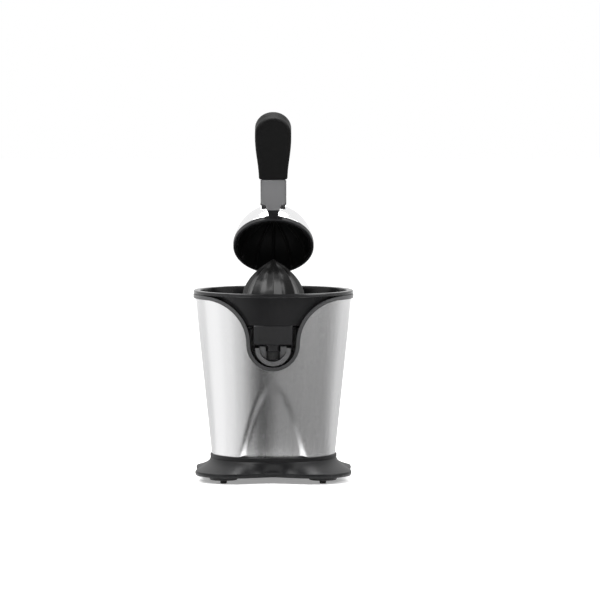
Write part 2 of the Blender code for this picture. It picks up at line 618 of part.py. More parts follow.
def make_bowl():
    """The juice bowl with its spout housing, the strainer and the tilting spout."""
    lip_radius = RIM_RADIUS - 0.3 * MM
    rim_under = COLLAR_TOP_Z + GAP
    outline = [
        (0, BOWL_BOTTOM_Z),
        (bowl_outer(BOWL_BOTTOM_Z), BOWL_BOTTOM_Z),
        (bowl_outer(rim_under), rim_under),
        (lip_radius, rim_under),
        (lip_radius, RIM_TOP_Z - 1 * MM),
        (lip_radius - 1 * MM, RIM_TOP_Z),
        (0, RIM_TOP_Z),
    ]
    bowl = add_piece("juice_bowl", turned(outline, 48), "smoke_plastic")
    far_y = RIM_RADIUS + 20 * MM
    above = RIM_TOP_Z + 10 * MM
    carve(bowl, box((-NOTCH_HALF, NOTCH_Y, BOWL_BOTTOM_Z - 9 * MM), (NOTCH_HALF, far_y, above)))
    front = arc((0, 0), shell_radius(SPOUT_BOX_Z) - 1.2 * MM, 254.2, 285.8, 6)
    front = [(x * SPOUT_BOX_HALF / front[-1][0], y) for x, y in front]
    outline = [(SPOUT_BOX_HALF, -SPOUT_BOX_BACK), (-SPOUT_BOX_HALF, -SPOUT_BOX_BACK)] + front
    carve(bowl, extruded(outline, SPOUT_BOX_Z, BOWL_FLOOR_Z - 0.4 * MM), "UNION")
    carve(
        bowl,
        disc(OUTLET_RADIUS + 2 * MM, SPOUT_BOX_Z - 8 * MM, SPOUT_BOX_Z + 1 * MM, 16, (0, OUTLET_Y)),
        "UNION",
    )
    for side in (-1, 1):
        inside = side * (SPOUT_RADIUS + GAP)
        outside = side * SPOUT_BOX_HALF
        x0, x1 = min(inside, outside), max(inside, outside)
        lug_low = (x0, SPOUT_PIN_Y - 4 * MM, SPOUT_PIN_Z - 4 * MM)
        carve(bowl, box(lug_low, (x1, SPOUT_PIN_Y + 4 * MM, SPOUT_BOX_Z + 1.5 * MM)), "UNION")
    tube_top = HUB_BOTTOM_Z + 4.5 * MM
    basin = [
        (0, tube_top),
        (BOWL_TUBE_RADIUS, tube_top),
        (BOWL_TUBE_RADIUS, BOWL_FLOOR_Z),
        (LEDGE_RADIUS - 2 * MM, BOWL_FLOOR_Z),
        (LEDGE_RADIUS - 2 * MM, BOWL_FLOOR_Z + LEDGE_HEIGHT),
        (LEDGE_RADIUS, BOWL_FLOOR_Z + LEDGE_HEIGHT),
        (LEDGE_RADIUS, BOWL_FLOOR_Z),
        (bowl_outer(BOWL_FLOOR_Z) - BOWL_WALL, BOWL_FLOOR_Z),
        (bowl_outer(above) - BOWL_WALL, above),
        (0, above),
    ]
    hollow = shaping_tool("bowl_hollow", turned(basin, 48))
    walled = NOTCH_HALF + BOWL_WALL
    carve(hollow, box((-walled, NOTCH_Y - BOWL_WALL, BOWL_BOTTOM_Z), (walled, far_y, above + 9 * MM)))
    combine(bowl, hollow, "DIFFERENCE")
    carve(bowl, disc(BOWL_TUBE_RADIUS - 2.5 * MM, BOWL_BOTTOM_Z - 9 * MM, above, 24))
    inner_half = SPOUT_BOX_HALF - BOWL_WALL
    scale = inner_half / SPOUT_BOX_HALF
    inner_front = [(x * scale, y + BOWL_WALL) for x, y in front]
    outline = [(inner_half, -SPOUT_BOX_BACK - BOWL_WALL), (-inner_half, -SPOUT_BOX_BACK - BOWL_WALL)]
    outline += inner_front
    carve(bowl, extruded(outline, SPOUT_BOX_Z + BOWL_WALL, BOWL_FLOOR_Z + 2 * MM))
    carve(bowl, disc(OUTLET_RADIUS, SPOUT_BOX_Z - 12 * MM, SPOUT_BOX_Z + 6 * MM, 16, (0, OUTLET_Y)))
    pin_hole = disc(SPOUT_PIN_RADIUS + RUNNING_GAP, 0, 60 * MM, 10)
    carve(bowl, along(pin_hole, "X", (-30 * MM, SPOUT_PIN_Y, SPOUT_PIN_Z)))
    make_strainer()
    make_spout()


def make_strainer():
    """The pulp strainer under the reamer: a slotted dish on the bowl's ledge."""
    tube = BOWL_TUBE_RADIUS + 1.5 * MM
    rim_z = STRAINER_Z + 9 * MM
    rim = LEDGE_RADIUS + 9 * MM
    wall = STRAINER_WALL
    outline = [
        (tube, STRAINER_Z),
        (LEDGE_RADIUS, STRAINER_Z),
        (rim, rim_z),
        (rim + 3 * MM, rim_z),
        (rim + 3 * MM, rim_z + wall),
        (rim - 1 * MM, rim_z + wall),
        (LEDGE_RADIUS - 0.7 * MM, STRAINER_Z + wall),
        (tube + wall, STRAINER_Z + wall),
        (tube + wall, STRAINER_Z + 4 * MM),
        (tube, STRAINER_Z + 4 * MM),
    ]
    strainer = add_piece("strainer", turned(outline, 32), "reamer_plastic")
    half = NOTCH_HALF + BOWL_WALL + 0.5 * MM
    clear = NOTCH_Y - BOWL_WALL - 0.5 * MM
    carve(strainer, box((-half, clear, STRAINER_Z - 5 * MM), (half, RIM_RADIUS, rim_z + 5 * MM)))
    slots = 16
    for i in range(slots):
        slot = box(
            (CONE_RADIUS + 3 * MM, -1.5 * MM, STRAINER_Z - 4 * MM),
            (LEDGE_RADIUS - 12 * MM, 1.5 * MM, STRAINER_Z + 6 * MM),
        )
        bmesh.ops.rotate(
            slot,
            verts=slot.verts,
            cent=(0, 0, 0),
            matrix=Matrix.Rotation(2 * pi * (i + 0.5) / slots, 3, "Z"),
        )
        carve(strainer, slot)


def make_spout():
    """The half-round trough under the outlet, its two pivot pins and the seal that closes the outlet."""
    spout = pivot("spout_pivot", Vector((0, SPOUT_PIN_Y, SPOUT_PIN_Z)))
    back = SPOUT_PIN_Y + 6 * MM
    outline = arc((0, SPOUT_CENTRE_Z), SPOUT_RADIUS, 180, 360, 20)
    trough = add_piece("spout", extruded(outline, -SPOUT_REACH, back, "Y"), "polished_steel", spout)
    inner = SPOUT_RADIUS - SPOUT_WALL
    hollow = [(-inner, SPOUT_CENTRE_Z + 5 * MM)] + arc((0, SPOUT_CENTRE_Z), inner, 180, 360, 16)
    hollow += [(inner, SPOUT_CENTRE_Z + 5 * MM)]
    carve(trough, extruded(hollow, -SPOUT_REACH - 5 * MM, back - 2.5 * MM, "Y"))
    hole = disc(SPOUT_PIN_RADIUS + RUNNING_GAP, 0, 60 * MM, 10)
    carve(trough, along(hole, "X", (-30 * MM, SPOUT_PIN_Y, SPOUT_PIN_Z)))
    for side, start in (("left", -SPOUT_BOX_HALF), ("right", inner + 1 * MM)):
        pin = disc(SPOUT_PIN_RADIUS, 0, SPOUT_BOX_HALF - inner - 1 * MM, 10)
        add_piece(f"spout_pin_{side}", along(pin, "X", (start, SPOUT_PIN_Y, SPOUT_PIN_Z)), "plain_steel")
    seal_radius = OUTLET_RADIUS + 1 * MM
    seal_bottom = SPOUT_CENTRE_Z - sqrt(inner**2 - seal_radius**2) + 0.4 * MM
    seal_top = SPOUT_BOX_Z - 8 * MM - GAP
    add_piece("spout_seal", disc(seal_radius, seal_bottom, seal_top, 16, (0, OUTLET_Y)), "rubber", spout)


def cone_radius(z):
    """Radius over the reamer's ribs at height z."""
    return CONE_RADIUS * (1 - ((z - CONE_FOOT_Z) / CONE_HEIGHT) ** 2.8)


def cone_section(angle):
    """The reamer's wall at one angle: ribbed outside, hollow, and a hub with a six-sided socket."""
    flute = FLUTE_DEPTH * (1 - max(0.0, cos(RIB_COUNT * (angle + pi / 2))))
    to_corner = (angle + pi / 6) % (pi / 3) - pi / 6
    socket = (SHAFT_RADIUS * cos(pi / 6) + GAP) / cos(pi / 6 - abs(to_corner))
    rows = [CONE_FOOT_Z + CONE_HEIGHT * share for share in (0, 0.22, 0.44, 0.64, 0.8, 0.92)]
    outer = [(cone_radius(z) - min(flute, 0.3 * cone_radius(z)), z) for z in rows] + [(0, CONE_TOP_Z)]
    top = SHAFT_TOP_Z + 7 * MM
    inner = [
        (0, SHAFT_TOP_Z + 1 * MM),
        (socket, SHAFT_TOP_Z + 1 * MM),
        (socket, HUB_BOTTOM_Z),
        (HUB_RADIUS, HUB_BOTTOM_Z),
        (HUB_RADIUS, top),
        (cone_radius(top) - 2 * CONE_WALL - FLUTE_DEPTH, top),
        (cone_radius(rows[2]) - CONE_WALL - flute, rows[2]),
        (CONE_RADIUS - CONE_WALL - flute, CONE_FOOT_Z),
    ]
    return [(r * cos(angle), r * sin(angle), z) for r, z in inner + outer]


def make_reamer():
    """The ribbed reamer, drawn as one wall wound round the shaft's axis."""
    reamer = pivot("reamer_lift", Vector((0, 0, CONE_FOOT_Z)))
    sections = 48
    rows = [cone_section(2 * pi * i / sections) for i in range(sections)]
    bm = bmesh.new()
    grid = [[bm.verts.new(point) for point in row] for row in rows]
    for near, far in zip(grid, grid[1:] + grid[:1]):
        for i in range(len(near) - 1):
            bm.faces.new((near[i], far[i], far[i + 1], near[i + 1]))
    bmesh.ops.remove_doubles(bm, verts=bm.verts, dist=0.001 * MM)
    bmesh.ops.recalc_face_normals(bm, faces=bm.faces)
    add_piece("reamer_cone", bm, "reamer_plastic", reamer)


# ---------------------------------------------------------------- drive


def pillar_places():
    """Centres of the gearbox's screw pillars."""
    return [(PILLAR_CIRCLE * cos(radians(a)), PILLAR_CIRCLE * sin(radians(a))) for a in PILLAR_ANGLES]


def gearbox_outline(radius, front_y):
    """A circle cut straight across at the front, so that the spout housing passes."""
    reach = radians(90) - acos(-front_y / radius)
    start, end = -reach, pi + reach
    steps = 32
    angles = [start + (end - start) * i / steps for i in range(steps + 1)]
    return [(radius * cos(a), radius * sin(a)) for a in angles]


def make_gearbox():
    """The gearbox's housing and lid, with its bushes, seal, axle and screws."""
    top = GEARBOX_Z + GEARBOX_HEIGHT
    floor = GEARBOX_Z + GEARBOX_WALL
    outer = gearbox_outline(GEARBOX_RADIUS, GEARBOX_FRONT_Y)
    housing = add_piece("gearbox_housing", extruded(outer, GEARBOX_Z, top), "grey_plastic")
    inner = gearbox_outline(CHAMBER_RADIUS, GEARBOX_FRONT_Y + GEARBOX_WALL)
    carve(housing, extruded(inner, floor, top + 5 * MM))
    lid = add_piece("gearbox_lid", extruded(outer, LID_BOTTOM_Z, LID_TOP_Z), "grey_plastic")
    carve(lid, disc(BOSS_RADIUS, LID_BOTTOM_Z + 1 * MM, BOSS_TOP_Z, 24), "UNION")
    carve(lid, disc(SHAFT_RADIUS + 1 * MM, LID_BOTTOM_Z - 5 * MM, BOSS_TOP_Z + 5 * MM, 16))
    bush_radius = BOSS_RADIUS - 2 * MM
    bush_low = LID_TOP_Z + 2 * MM
    seal_low = BOSS_TOP_Z - 3.3 * MM
    carve(lid, disc(bush_radius + GAP, bush_low - GAP, BOSS_TOP_Z + 6 * MM, 24))
    bore = SHAFT_RADIUS + RUNNING_GAP
    add_piece("upper_bush", ring(bore, bush_radius, bush_low, seal_low - GAP, 20), "bronze")
    add_piece("shaft_seal", ring(bore, bush_radius, seal_low, BOSS_TOP_Z, 20), "rubber")
    carve(housing, disc(BOSS_RADIUS, GEARBOX_Z - 4 * MM, floor - 1 * MM, 20), "UNION")
    carve(housing, disc(bush_radius + GAP, GEARBOX_Z - 9 * MM, floor + 9 * MM, 20))
    add_piece("lower_bush", ring(bore, bush_radius, GEARBOX_Z - 4 * MM, floor, 20), "bronze")
    for index, at in enumerate(pillar_places(), 1):
        carve(housing, disc(PILLAR_RADIUS, floor - 1 * MM, top, 12, at), "UNION")
        hole = disc(SCREW_RADIUS + RUNNING_GAP, GEARBOX_Z - 9 * MM, LID_TOP_Z + 9 * MM, 8, at)
        carve(housing, hole.copy())
        carve(lid, hole)
        add_screw(f"gearbox_screw_{index}", at, GEARBOX_Z - GAP - SCREW_HEAD_HEIGHT, DECK_TOP_Z)
    axle_hole = disc(AXLE_RADIUS + GAP, GEARBOX_Z - 9 * MM, LID_TOP_Z + 9 * MM, 12, INTERMEDIATE_AT)
    carve(housing, axle_hole.copy())
    carve(lid, axle_hole)
    add_piece(
        "intermediate_axle", disc(AXLE_RADIUS, GEARBOX_Z, LID_TOP_Z, 12, INTERMEDIATE_AT), "plain_steel"
    )
    carve(housing, disc(MOTOR_SHAFT_RADIUS + 2 * MM, GEARBOX_Z - 9 * MM, floor + 9 * MM, 12, MOTOR_AT))


def make_gears():
    """The reduction: motor pinion to the intermediate's wheel, its pinion to the output gear."""
    low = GEARBOX_Z + GEARBOX_WALL + 5 * MM
    half_tooth = pi / BIG_TEETH
    output = pivot("output_gear_spin", Vector((0, 0, low)))
    wheel = gear(BIG_TEETH, OUTPUT_MODULE, OUTPUT_GEAR_WIDTH, low, (0, 0), INTERMEDIATE_ANGLE + half_tooth)
    wheel = add_piece("output_gear", wheel, "white_plastic", output)
    carve(wheel, hexagon(SHAFT_RADIUS + RUNNING_GAP, low - 5 * MM, low + 30 * MM))
    between = pivot("intermediate_gear_spin", Vector((*INTERMEDIATE_AT, low)))
    pinion_low = low - 0.5 * MM
    wheel_low = low + OUTPUT_GEAR_WIDTH + 2 * MM
    pinion = gear(
        SMALL_TEETH,
        OUTPUT_MODULE,
        wheel_low + 1 * MM - pinion_low,
        pinion_low,
        INTERMEDIATE_AT,
        INTERMEDIATE_ANGLE + pi,
    )
    pinion = add_piece("intermediate_gear", pinion, "white_plastic", between)
    wheel = gear(
        BIG_TEETH, FINE_MODULE, FINE_GEAR_WIDTH, wheel_low, INTERMEDIATE_AT, MOTOR_ANGLE + half_tooth
    )
    carve(pinion, wheel, "UNION")
    carve(pinion, disc(AXLE_RADIUS + RUNNING_GAP, low - 9 * MM, low + 40 * MM, 12, INTERMEDIATE_AT))
    return wheel_low


def hexagon(radius, low, high):
    """A six-sided bar, corner to corner across twice the radius."""
    return disc(radius, low, high, 6)


def make_shaft():
    """The drive shaft: round in its bushes, six-sided in the gear and in the reamer."""
    shaft = pivot("shaft_spin", Vector((0, 0, SHAFT_BOTTOM_Z)))
    floor = GEARBOX_Z + GEARBOX_WALL
    round_to = (SHAFT_BOTTOM_Z, floor + 2 * MM), (LID_TOP_Z - 1 * MM, BOSS_TOP_Z + 1 * MM)
    loops = []
    heights = [(z, True) for z in round_to[0]] + [(z, False) for z in (round_to[0][1], round_to[1][0])]
    heights += [(z, True) for z in round_to[1]] + [(z, False) for z in (round_to[1][1], SHAFT_TOP_Z)]
    for index, (z, is_round) in enumerate(heights):
        side = SHAFT_RADIUS if is_round else SHAFT_RADIUS * cos(pi / 6)
        reach = (SHAFT_RADIUS, side)
        step = 0.05 * MM * (index % 2 == 0) * (index > 0)
        loops.append(
            [(reach[k % 2] * cos(pi * k / 6), reach[k % 2] * sin(pi * k / 6), z + step) for k in range(12)]
        )
    add_piece("drive_shaft", skinned(loops, capped=True), "plain_steel", shaft)


def make_press_switch():
    """What happens under the shaft when fruit is pressed: thrust cup, return spring, switch and bracket."""
    press = pivot("press_slide", Vector((0, 0, SHAFT_BOTTOM_Z)))
    cup_radius = SHAFT_RADIUS + 2 * MM
    outline = [
        (0, SHAFT_BOTTOM_Z - 14 * MM),
        (2.2 * MM, SHAFT_BOTTOM_Z - 14 * MM),
        (2.2 * MM, SHAFT_BOTTOM_Z - 5 * MM),
        (cup_radius, SHAFT_BOTTOM_Z - 5 * MM),
        (cup_radius, SHAFT_BOTTOM_Z + 2 * MM),
        (SHAFT_RADIUS + RUNNING_GAP, SHAFT_BOTTOM_Z + 2 * MM),
        (SHAFT_RADIUS + RUNNING_GAP, SHAFT_BOTTOM_Z - GAP),
        (0, SHAFT_BOTTOM_Z - GAP),
    ]
    cup = add_piece("thrust_cup", turned(outline, 20), "white_plastic", press)
    tongue_z = SHAFT_BOTTOM_Z - 1 * MM
    reach_y = -cup_radius - 13 * MM
    carve(cup, box((-4 * MM, reach_y, tongue_z), (4 * MM, -cup_radius + 1 * MM, tongue_z + 2 * MM)), "UNION")
    seat = SHAFT_BOTTOM_Z - 19 * MM
    half = cup_radius + 7 * MM
    bracket = add_piece(
        "thrust_bracket",
        box((-half, -6 * MM, seat - 2 * MM), (half, 6 * MM, GEARBOX_Z - GAP)),
        "plain_steel",
    )
    carve(bracket, box((-half + 2 * MM, -9 * MM, seat), (half - 2 * MM, 9 * MM, GEARBOX_Z + 5 * MM)))
    shelf = box((-6 * MM, reach_y - 3 * MM, seat - 2 * MM), (6 * MM, -5 * MM, seat))
    carve(bracket, shelf, "UNION")
    carve(bracket, disc(2.2 * MM + RUNNING_GAP, seat - 9 * MM, seat + 3 * MM, 12))
    spring = coil(4.2 * MM, 1.2 * MM, SHAFT_BOTTOM_Z - 5 * MM - GAP - seat - GAP, 5)
    bmesh.ops.translate(spring, verts=spring.verts, vec=(0, 0, seat + GAP))
    add_piece("return_spring", spring, "spring_steel")
    button_top = tongue_z - GAP
    body_top = button_top - PRESS_TRAVEL - 0.3 * MM
    middle_y = reach_y + 4 * MM
    body = box((-5 * MM, reach_y - 2.5 * MM, seat + GAP), (5 * MM, -cup_radius - 2.5 * MM, body_top))
    body = add_piece("microswitch_body", body, "black_plastic")
    pocket_z = button_top - 2 * PRESS_TRAVEL - 2 * MM
    pocket = box((-2 * MM, middle_y - 2 * MM, pocket_z), (2 * MM, middle_y + 2 * MM, body_top + 5 * MM))
    carve(body, pocket)
    stem = 2 * MM - RUNNING_GAP
    button = pivot("switch_button_slide", Vector((0, middle_y, body_top)))
    stem_low = (-stem, middle_y - stem, pocket_z + PRESS_TRAVEL + 0.5 * MM)
    add_piece("switch_button", box(stem_low, (stem, middle_y + stem, button_top)), "white_plastic", button)


def make_motor(pinion_z):
    """The motor under the gearbox, with its rotor and fan."""
    rotor = pivot("motor_spin", Vector((*MOTOR_AT, MOTOR_BOTTOM_Z)))
    at = MOTOR_AT
    cap = 7 * MM
    can_low, can_high = MOTOR_BOTTOM_Z + 12 * MM + cap + GAP, MOTOR_TOP_Z - cap - GAP
    inner = MOTOR_RADIUS - MOTOR_CAN_WALL
    add_piece("motor_can", ring(inner, MOTOR_RADIUS, can_low, can_high, 24, at), "plain_steel")
    core_low, core_high = can_low + 12 * MM, can_high - 6 * MM
    armature = 0.62 * MOTOR_RADIUS
    add_piece("stator_core", ring(armature + 0.6 * MM, inner - GAP, core_low, core_high, 24, at), "copper")
    bore = MOTOR_SHAFT_RADIUS + RUNNING_GAP
    add_piece(
        "motor_cap_upper", ring(bore, MOTOR_RADIUS, MOTOR_TOP_Z - cap, MOTOR_TOP_Z, 24, at), "grey_plastic"
    )
    lower_z = MOTOR_BOTTOM_Z + 12 * MM
    add_piece("motor_cap_lower", ring(bore, MOTOR_RADIUS, lower_z, lower_z + cap, 24, at), "grey_plastic")
    shaft_top = pinion_z + FINE_GEAR_WIDTH + 1.5 * MM
    shaft = add_piece(
        "motor_shaft", disc(MOTOR_SHAFT_RADIUS, MOTOR_BOTTOM_Z, shaft_top, 12, at), "plain_steel", rotor
    )
    pinion = gear(
        SMALL_TEETH, FINE_MODULE, FINE_GEAR_WIDTH + 1 * MM, pinion_z - 0.5 * MM, at, MOTOR_ANGLE + pi
    )
    carve(shaft, pinion, "UNION")
    hub = MOTOR_SHAFT_RADIUS + GAP
    winding = [
        (hub, can_low + 1 * MM),
        (9 * MM, can_low + 1 * MM),
        (9 * MM, core_low - 2 * MM),
        (armature, core_low),
        (armature, core_high),
        (hub, core_high),
    ]
    add_piece("armature", turned(winding, 20, at), "copper", rotor)
    fan_radius = MOTOR_RADIUS - 4 * MM
    add_piece(
        "cooling_fan",
        ring(hub, fan_radius, MOTOR_BOTTOM_Z + 1 * MM, MOTOR_BOTTOM_Z + 9 * MM, 18, at),
        "grey_plastic",
        rotor,
    )


# ---------------------------------------------------------------- press arm


def handle_point(s, w):
    """Height and depth of a point s along the handle and w above its underside."""
    y = -DOME_RADIUS - s * cos(HANDLE_ANGLE) + w * sin(HANDLE_ANGLE)
    return y, PRESS_PLANE_Z + s * sin(HANDLE_ANGLE) + w * cos(HANDLE_ANGLE)


def handle_solid(profile, half_width):
    """A side profile in (s, w) given a width, which may change along s."""
    loops = []
    for side in (-1, 1):
        loops.append([(side * half_width(s), *handle_point(s, w)) for s, w in profile])
    return skinned(loops, capped=True)


def handle_plate(outline, low, high):
    """A plan outline in (s, half width) points, drawn between two heights over the underside."""
    mirrored = outline + [(s, -x) for s, x in reversed(outline)]
    return skinned([[(x, *handle_point(s, w)) for s, x in mirrored] for w in (low, high)], capped=True)


def handle_bore(s, radius, low, high):
    """A round bar square to the handle at s."""
    bm = disc(radius, low, high, 12)
    y, z = handle_point(s, 0)
    place = Matrix.Translation((0, y, z)) @ Matrix.Rotation(-HANDLE_ANGLE, 4, "X")
    bmesh.ops.transform(bm, matrix=place, verts=bm.verts)
    return bm


def grip_outline():
    """The paddle seen from above: a slim waist at the neck that widens to a round end."""
    end = HANDLE_LENGTH - GRIP_HALF
    points = []
    steps = 6
    for i in range(steps + 1):
        share = i / steps
        swell = 3 * share**2 - 2 * share**3
        along_grip = GRIP_START + (end - 6 * MM - GRIP_START) * share
        points.append((along_grip, GRIP_HALF_START + (GRIP_HALF - GRIP_HALF_START) * swell))
    points += [(end + GRIP_HALF * sin(radians(a)), GRIP_HALF * cos(radians(a))) for a in (0, 22, 44, 64, 82)]
    return points


def make_arm_frame(arm):
    """The casting: hinge barrel and stop, arm, ring round the dome's edge, web and tang."""
    edge_ring = ring(DOME_RADIUS - RING_WALL, DOME_RADIUS, PRESS_PLANE_Z, RING_TOP_Z, 32)
    frame = add_piece("arm_frame", edge_ring, "zinc_casting", arm)
    low_z = RIM_TOP_Z + 1.8 * MM
    rear = [
        (DOME_RADIUS - 1.6 * MM, PRESS_PLANE_Z + 0.6 * MM),
        (DOME_RADIUS + 3.5 * MM, PRESS_PLANE_Z + 0.6 * MM),
        (HINGE_Y - 19 * MM, low_z),
        (HINGE_Y - 4 * MM, low_z),
        (HINGE_Y + 3 * MM, HINGE_Z - 3.7 * MM),
        (HINGE_Y + STOP_REACH, HINGE_Z - 3.5 * MM),
        (HINGE_Y + STOP_REACH, HINGE_Z + 2 * MM),
        (HINGE_Y + 3 * MM, HINGE_Z + 2.2 * MM),
        (HINGE_Y - 3 * MM, HINGE_Z + 5.8 * MM),
        (DOME_RADIUS + 6 * MM, HINGE_Z + 5.8 * MM),
        (DOME_RADIUS + 0.7 * MM, RING_TOP_Z + 3 * MM),
        (DOME_RADIUS + 0.7 * MM, RING_TOP_Z - 0.6 * MM),
        (DOME_RADIUS - 1.6 * MM, RING_TOP_Z - 0.6 * MM),
    ]
    carve(frame, extruded(rear, -BARREL_HALF + 1.5 * MM, BARREL_HALF - 1.5 * MM, "X"), "UNION")
    barrel = along(disc(BARREL_RADIUS, 0, 2 * BARREL_HALF, 20), "X", (-BARREL_HALF, HINGE_Y, HINGE_Z))
    carve(frame, barrel, "UNION")
    web = [
        (-1.5 * MM, 1.0 * MM),
        (12.3 * MM, 0.4 * MM),
        (12.3 * MM, TANG_TOP - 0.5 * MM),
        (8.0 * MM, TANG_TOP - 0.5 * MM),
        (3.2 * MM, 6.0 * MM),
        (1.0 * MM, 5.0 * MM),
        (-1.2 * MM, 4.0 * MM),
    ]
    carve(frame, handle_solid(web, lambda s: 5.3 * MM + 0.2 * s), "UNION")
    tang = [(10 * MM, TANG_BOTTOM), (TANG_END, TANG_BOTTOM), (TANG_END, TANG_TOP), (10 * MM, TANG_TOP)]
    carve(frame, handle_solid(tang, lambda s: TANG_HALF), "UNION")
    bore = disc(HINGE_PIN_RADIUS + RUNNING_GAP, 0, 60 * MM, 16)
    carve(frame, along(bore, "X", (-30 * MM, HINGE_Y, HINGE_Z)))
    return frame


def make_arm():
    """Everything that swings with the press arm."""
    arm = pivot("lever_hinge", Vector((0, HINGE_Y, HINGE_Z)), (-OPEN_ANGLE, 0, 0))
    frame = make_arm_frame(arm)
    rise = (RING_HEIGHT + GAP) / DOME_HEIGHT
    start = rise / sqrt(1 - rise**2)
    steps = 6
    angles = [start + (pi / 2 - start) * i / steps for i in range(steps)]

    def shell(radius, height):
        points = [(radius * cos(a), PRESS_PLANE_Z + height * sin(a)) for a in angles]
        return points + [(0, PRESS_PLANE_Z + height)]

    outer = shell(DOME_RADIUS, DOME_HEIGHT)
    inner = shell(DOME_RADIUS - DOME_WALL, DOME_HEIGHT - DOME_WALL)
    add_piece("dome_shell", turned(list(reversed(inner)) + outer, 32), "polished_steel", arm)
    cup_radius = DOME_RADIUS - RING_WALL - GAP
    cup_height = DOME_HEIGHT - DOME_WALL - 1 * MM
    outer = [(cup_radius, PRESS_PLANE_Z + 0.4 * MM)] + shell(cup_radius, cup_height)
    inner = shell(cup_radius - CUP_WALL, cup_height - CUP_WALL)
    cup = list(reversed(inner)) + [(cup_radius - CUP_WALL, PRESS_PLANE_Z + 0.4 * MM)] + outer
    add_piece("press_cup", turned(cup, 32), "black_plastic", arm)

    neck = [
        (NECK_START, 0),
        (GRIP_START - 0.6 * MM, 0),
        (GRIP_START - 0.6 * MM, NECK_DEPTH),
        (7 * MM, NECK_DEPTH),
    ]
    shell_piece = add_piece("neck_shell", handle_solid(neck, lambda s: NECK_HALF), "polished_steel", arm)
    channel = [(-9 * MM, -5 * MM), (GRIP_START + 9 * MM, -5 * MM)]
    channel += [(GRIP_START + 9 * MM, NECK_DEPTH - NECK_WALL), (-9 * MM, NECK_DEPTH - NECK_WALL)]
    carve(shell_piece, handle_solid(channel, lambda s: NECK_HALF - NECK_WALL))
    wide = NECK_HALF - NECK_WALL - GAP
    panel = [
        (12.7 * MM, 7.7 * MM),
        (20 * MM, 9.6 * MM),
        (NECK_START + 0.5 * MM, wide),
        (GRIP_START - 1.2 * MM, wide),
    ]
    add_piece("neck_insert", handle_plate(panel, 0.4 * MM, 0.4 * MM + INSERT_WALL), "grey_plastic", arm)
    parting = (GRIP_ABOVE - GRIP_BELOW) / 2
    for name, low, high in (
        ("grip_lower", -GRIP_BELOW, parting - GAP / 2),
        ("grip_upper", parting + GAP / 2, GRIP_ABOVE),
    ):
        grip = add_piece(name, handle_plate(grip_outline(), low, high), "soft_grip", arm)
        pocket = [(GRIP_START - 5 * MM, TANG_BOTTOM - GAP), (TANG_END + GAP, TANG_BOTTOM - GAP)]
        pocket += [(TANG_END + GAP, TANG_TOP + GAP), (GRIP_START - 5 * MM, TANG_TOP + GAP)]
        carve(grip, handle_solid(pocket, lambda s: TANG_HALF + GAP))
    make_handle_screws(arm, frame, shell_piece)
    make_hinge(arm)


def make_handle_screws(arm, frame, shell_piece):
    """The screw under the neck's panel and the one down through the grip."""
    shank, head = SCREW_RADIUS, SCREW_HEAD_RADIUS
    hole = shank + RUNNING_GAP
    s = (NECK_START + GRIP_START) / 2
    sunk = TANG_BOTTOM + SCREW_HEAD_HEIGHT + 0.6 * MM
    carve(frame, handle_bore(s, head + RUNNING_GAP, TANG_BOTTOM - 5 * MM, sunk))
    carve(frame, handle_bore(s, hole, 0, NECK_DEPTH + 5 * MM))
    carve(shell_piece, handle_bore(s, hole, TANG_TOP - 2 * MM, NECK_DEPTH + 5 * MM))
    screw = add_piece(
        "neck_screw", handle_bore(s, shank, sunk - 0.6 * MM, NECK_DEPTH - 0.5 * MM), "plain_steel", arm
    )
    carve(screw, handle_bore(s, head, TANG_BOTTOM + 0.2 * MM, sunk - GAP), "UNION")
    s = (GRIP_START + TANG_END) / 2
    seat = GRIP_ABOVE - 1.6 * MM
    upper = bpy.data.objects["grip_upper"]
    carve(frame, handle_bore(s, hole, 0, NECK_DEPTH + 5 * MM))
    carve(upper, handle_bore(s, hole, 0, GRIP_ABOVE + 5 * MM))
    carve(upper, handle_bore(s, head + RUNNING_GAP, seat - SCREW_HEAD_HEIGHT, GRIP_ABOVE + 5 * MM))
    carve(bpy.data.objects["grip_lower"], handle_bore(s, hole, 0, GRIP_ABOVE))
    screw = add_piece("grip_screw", handle_bore(s, shank, 0.5 * MM, seat - 1 * MM), "plain_steel", arm)
    carve(screw, handle_bore(s, head, seat - SCREW_HEAD_HEIGHT + GAP, seat), "UNION")


def bracket_screw_places():
    """Centres of the hinge bracket's two screws."""
    return [(-11 * MM, HINGE_Y + 4 * MM), (11 * MM, HINGE_Y + 4 * MM)]


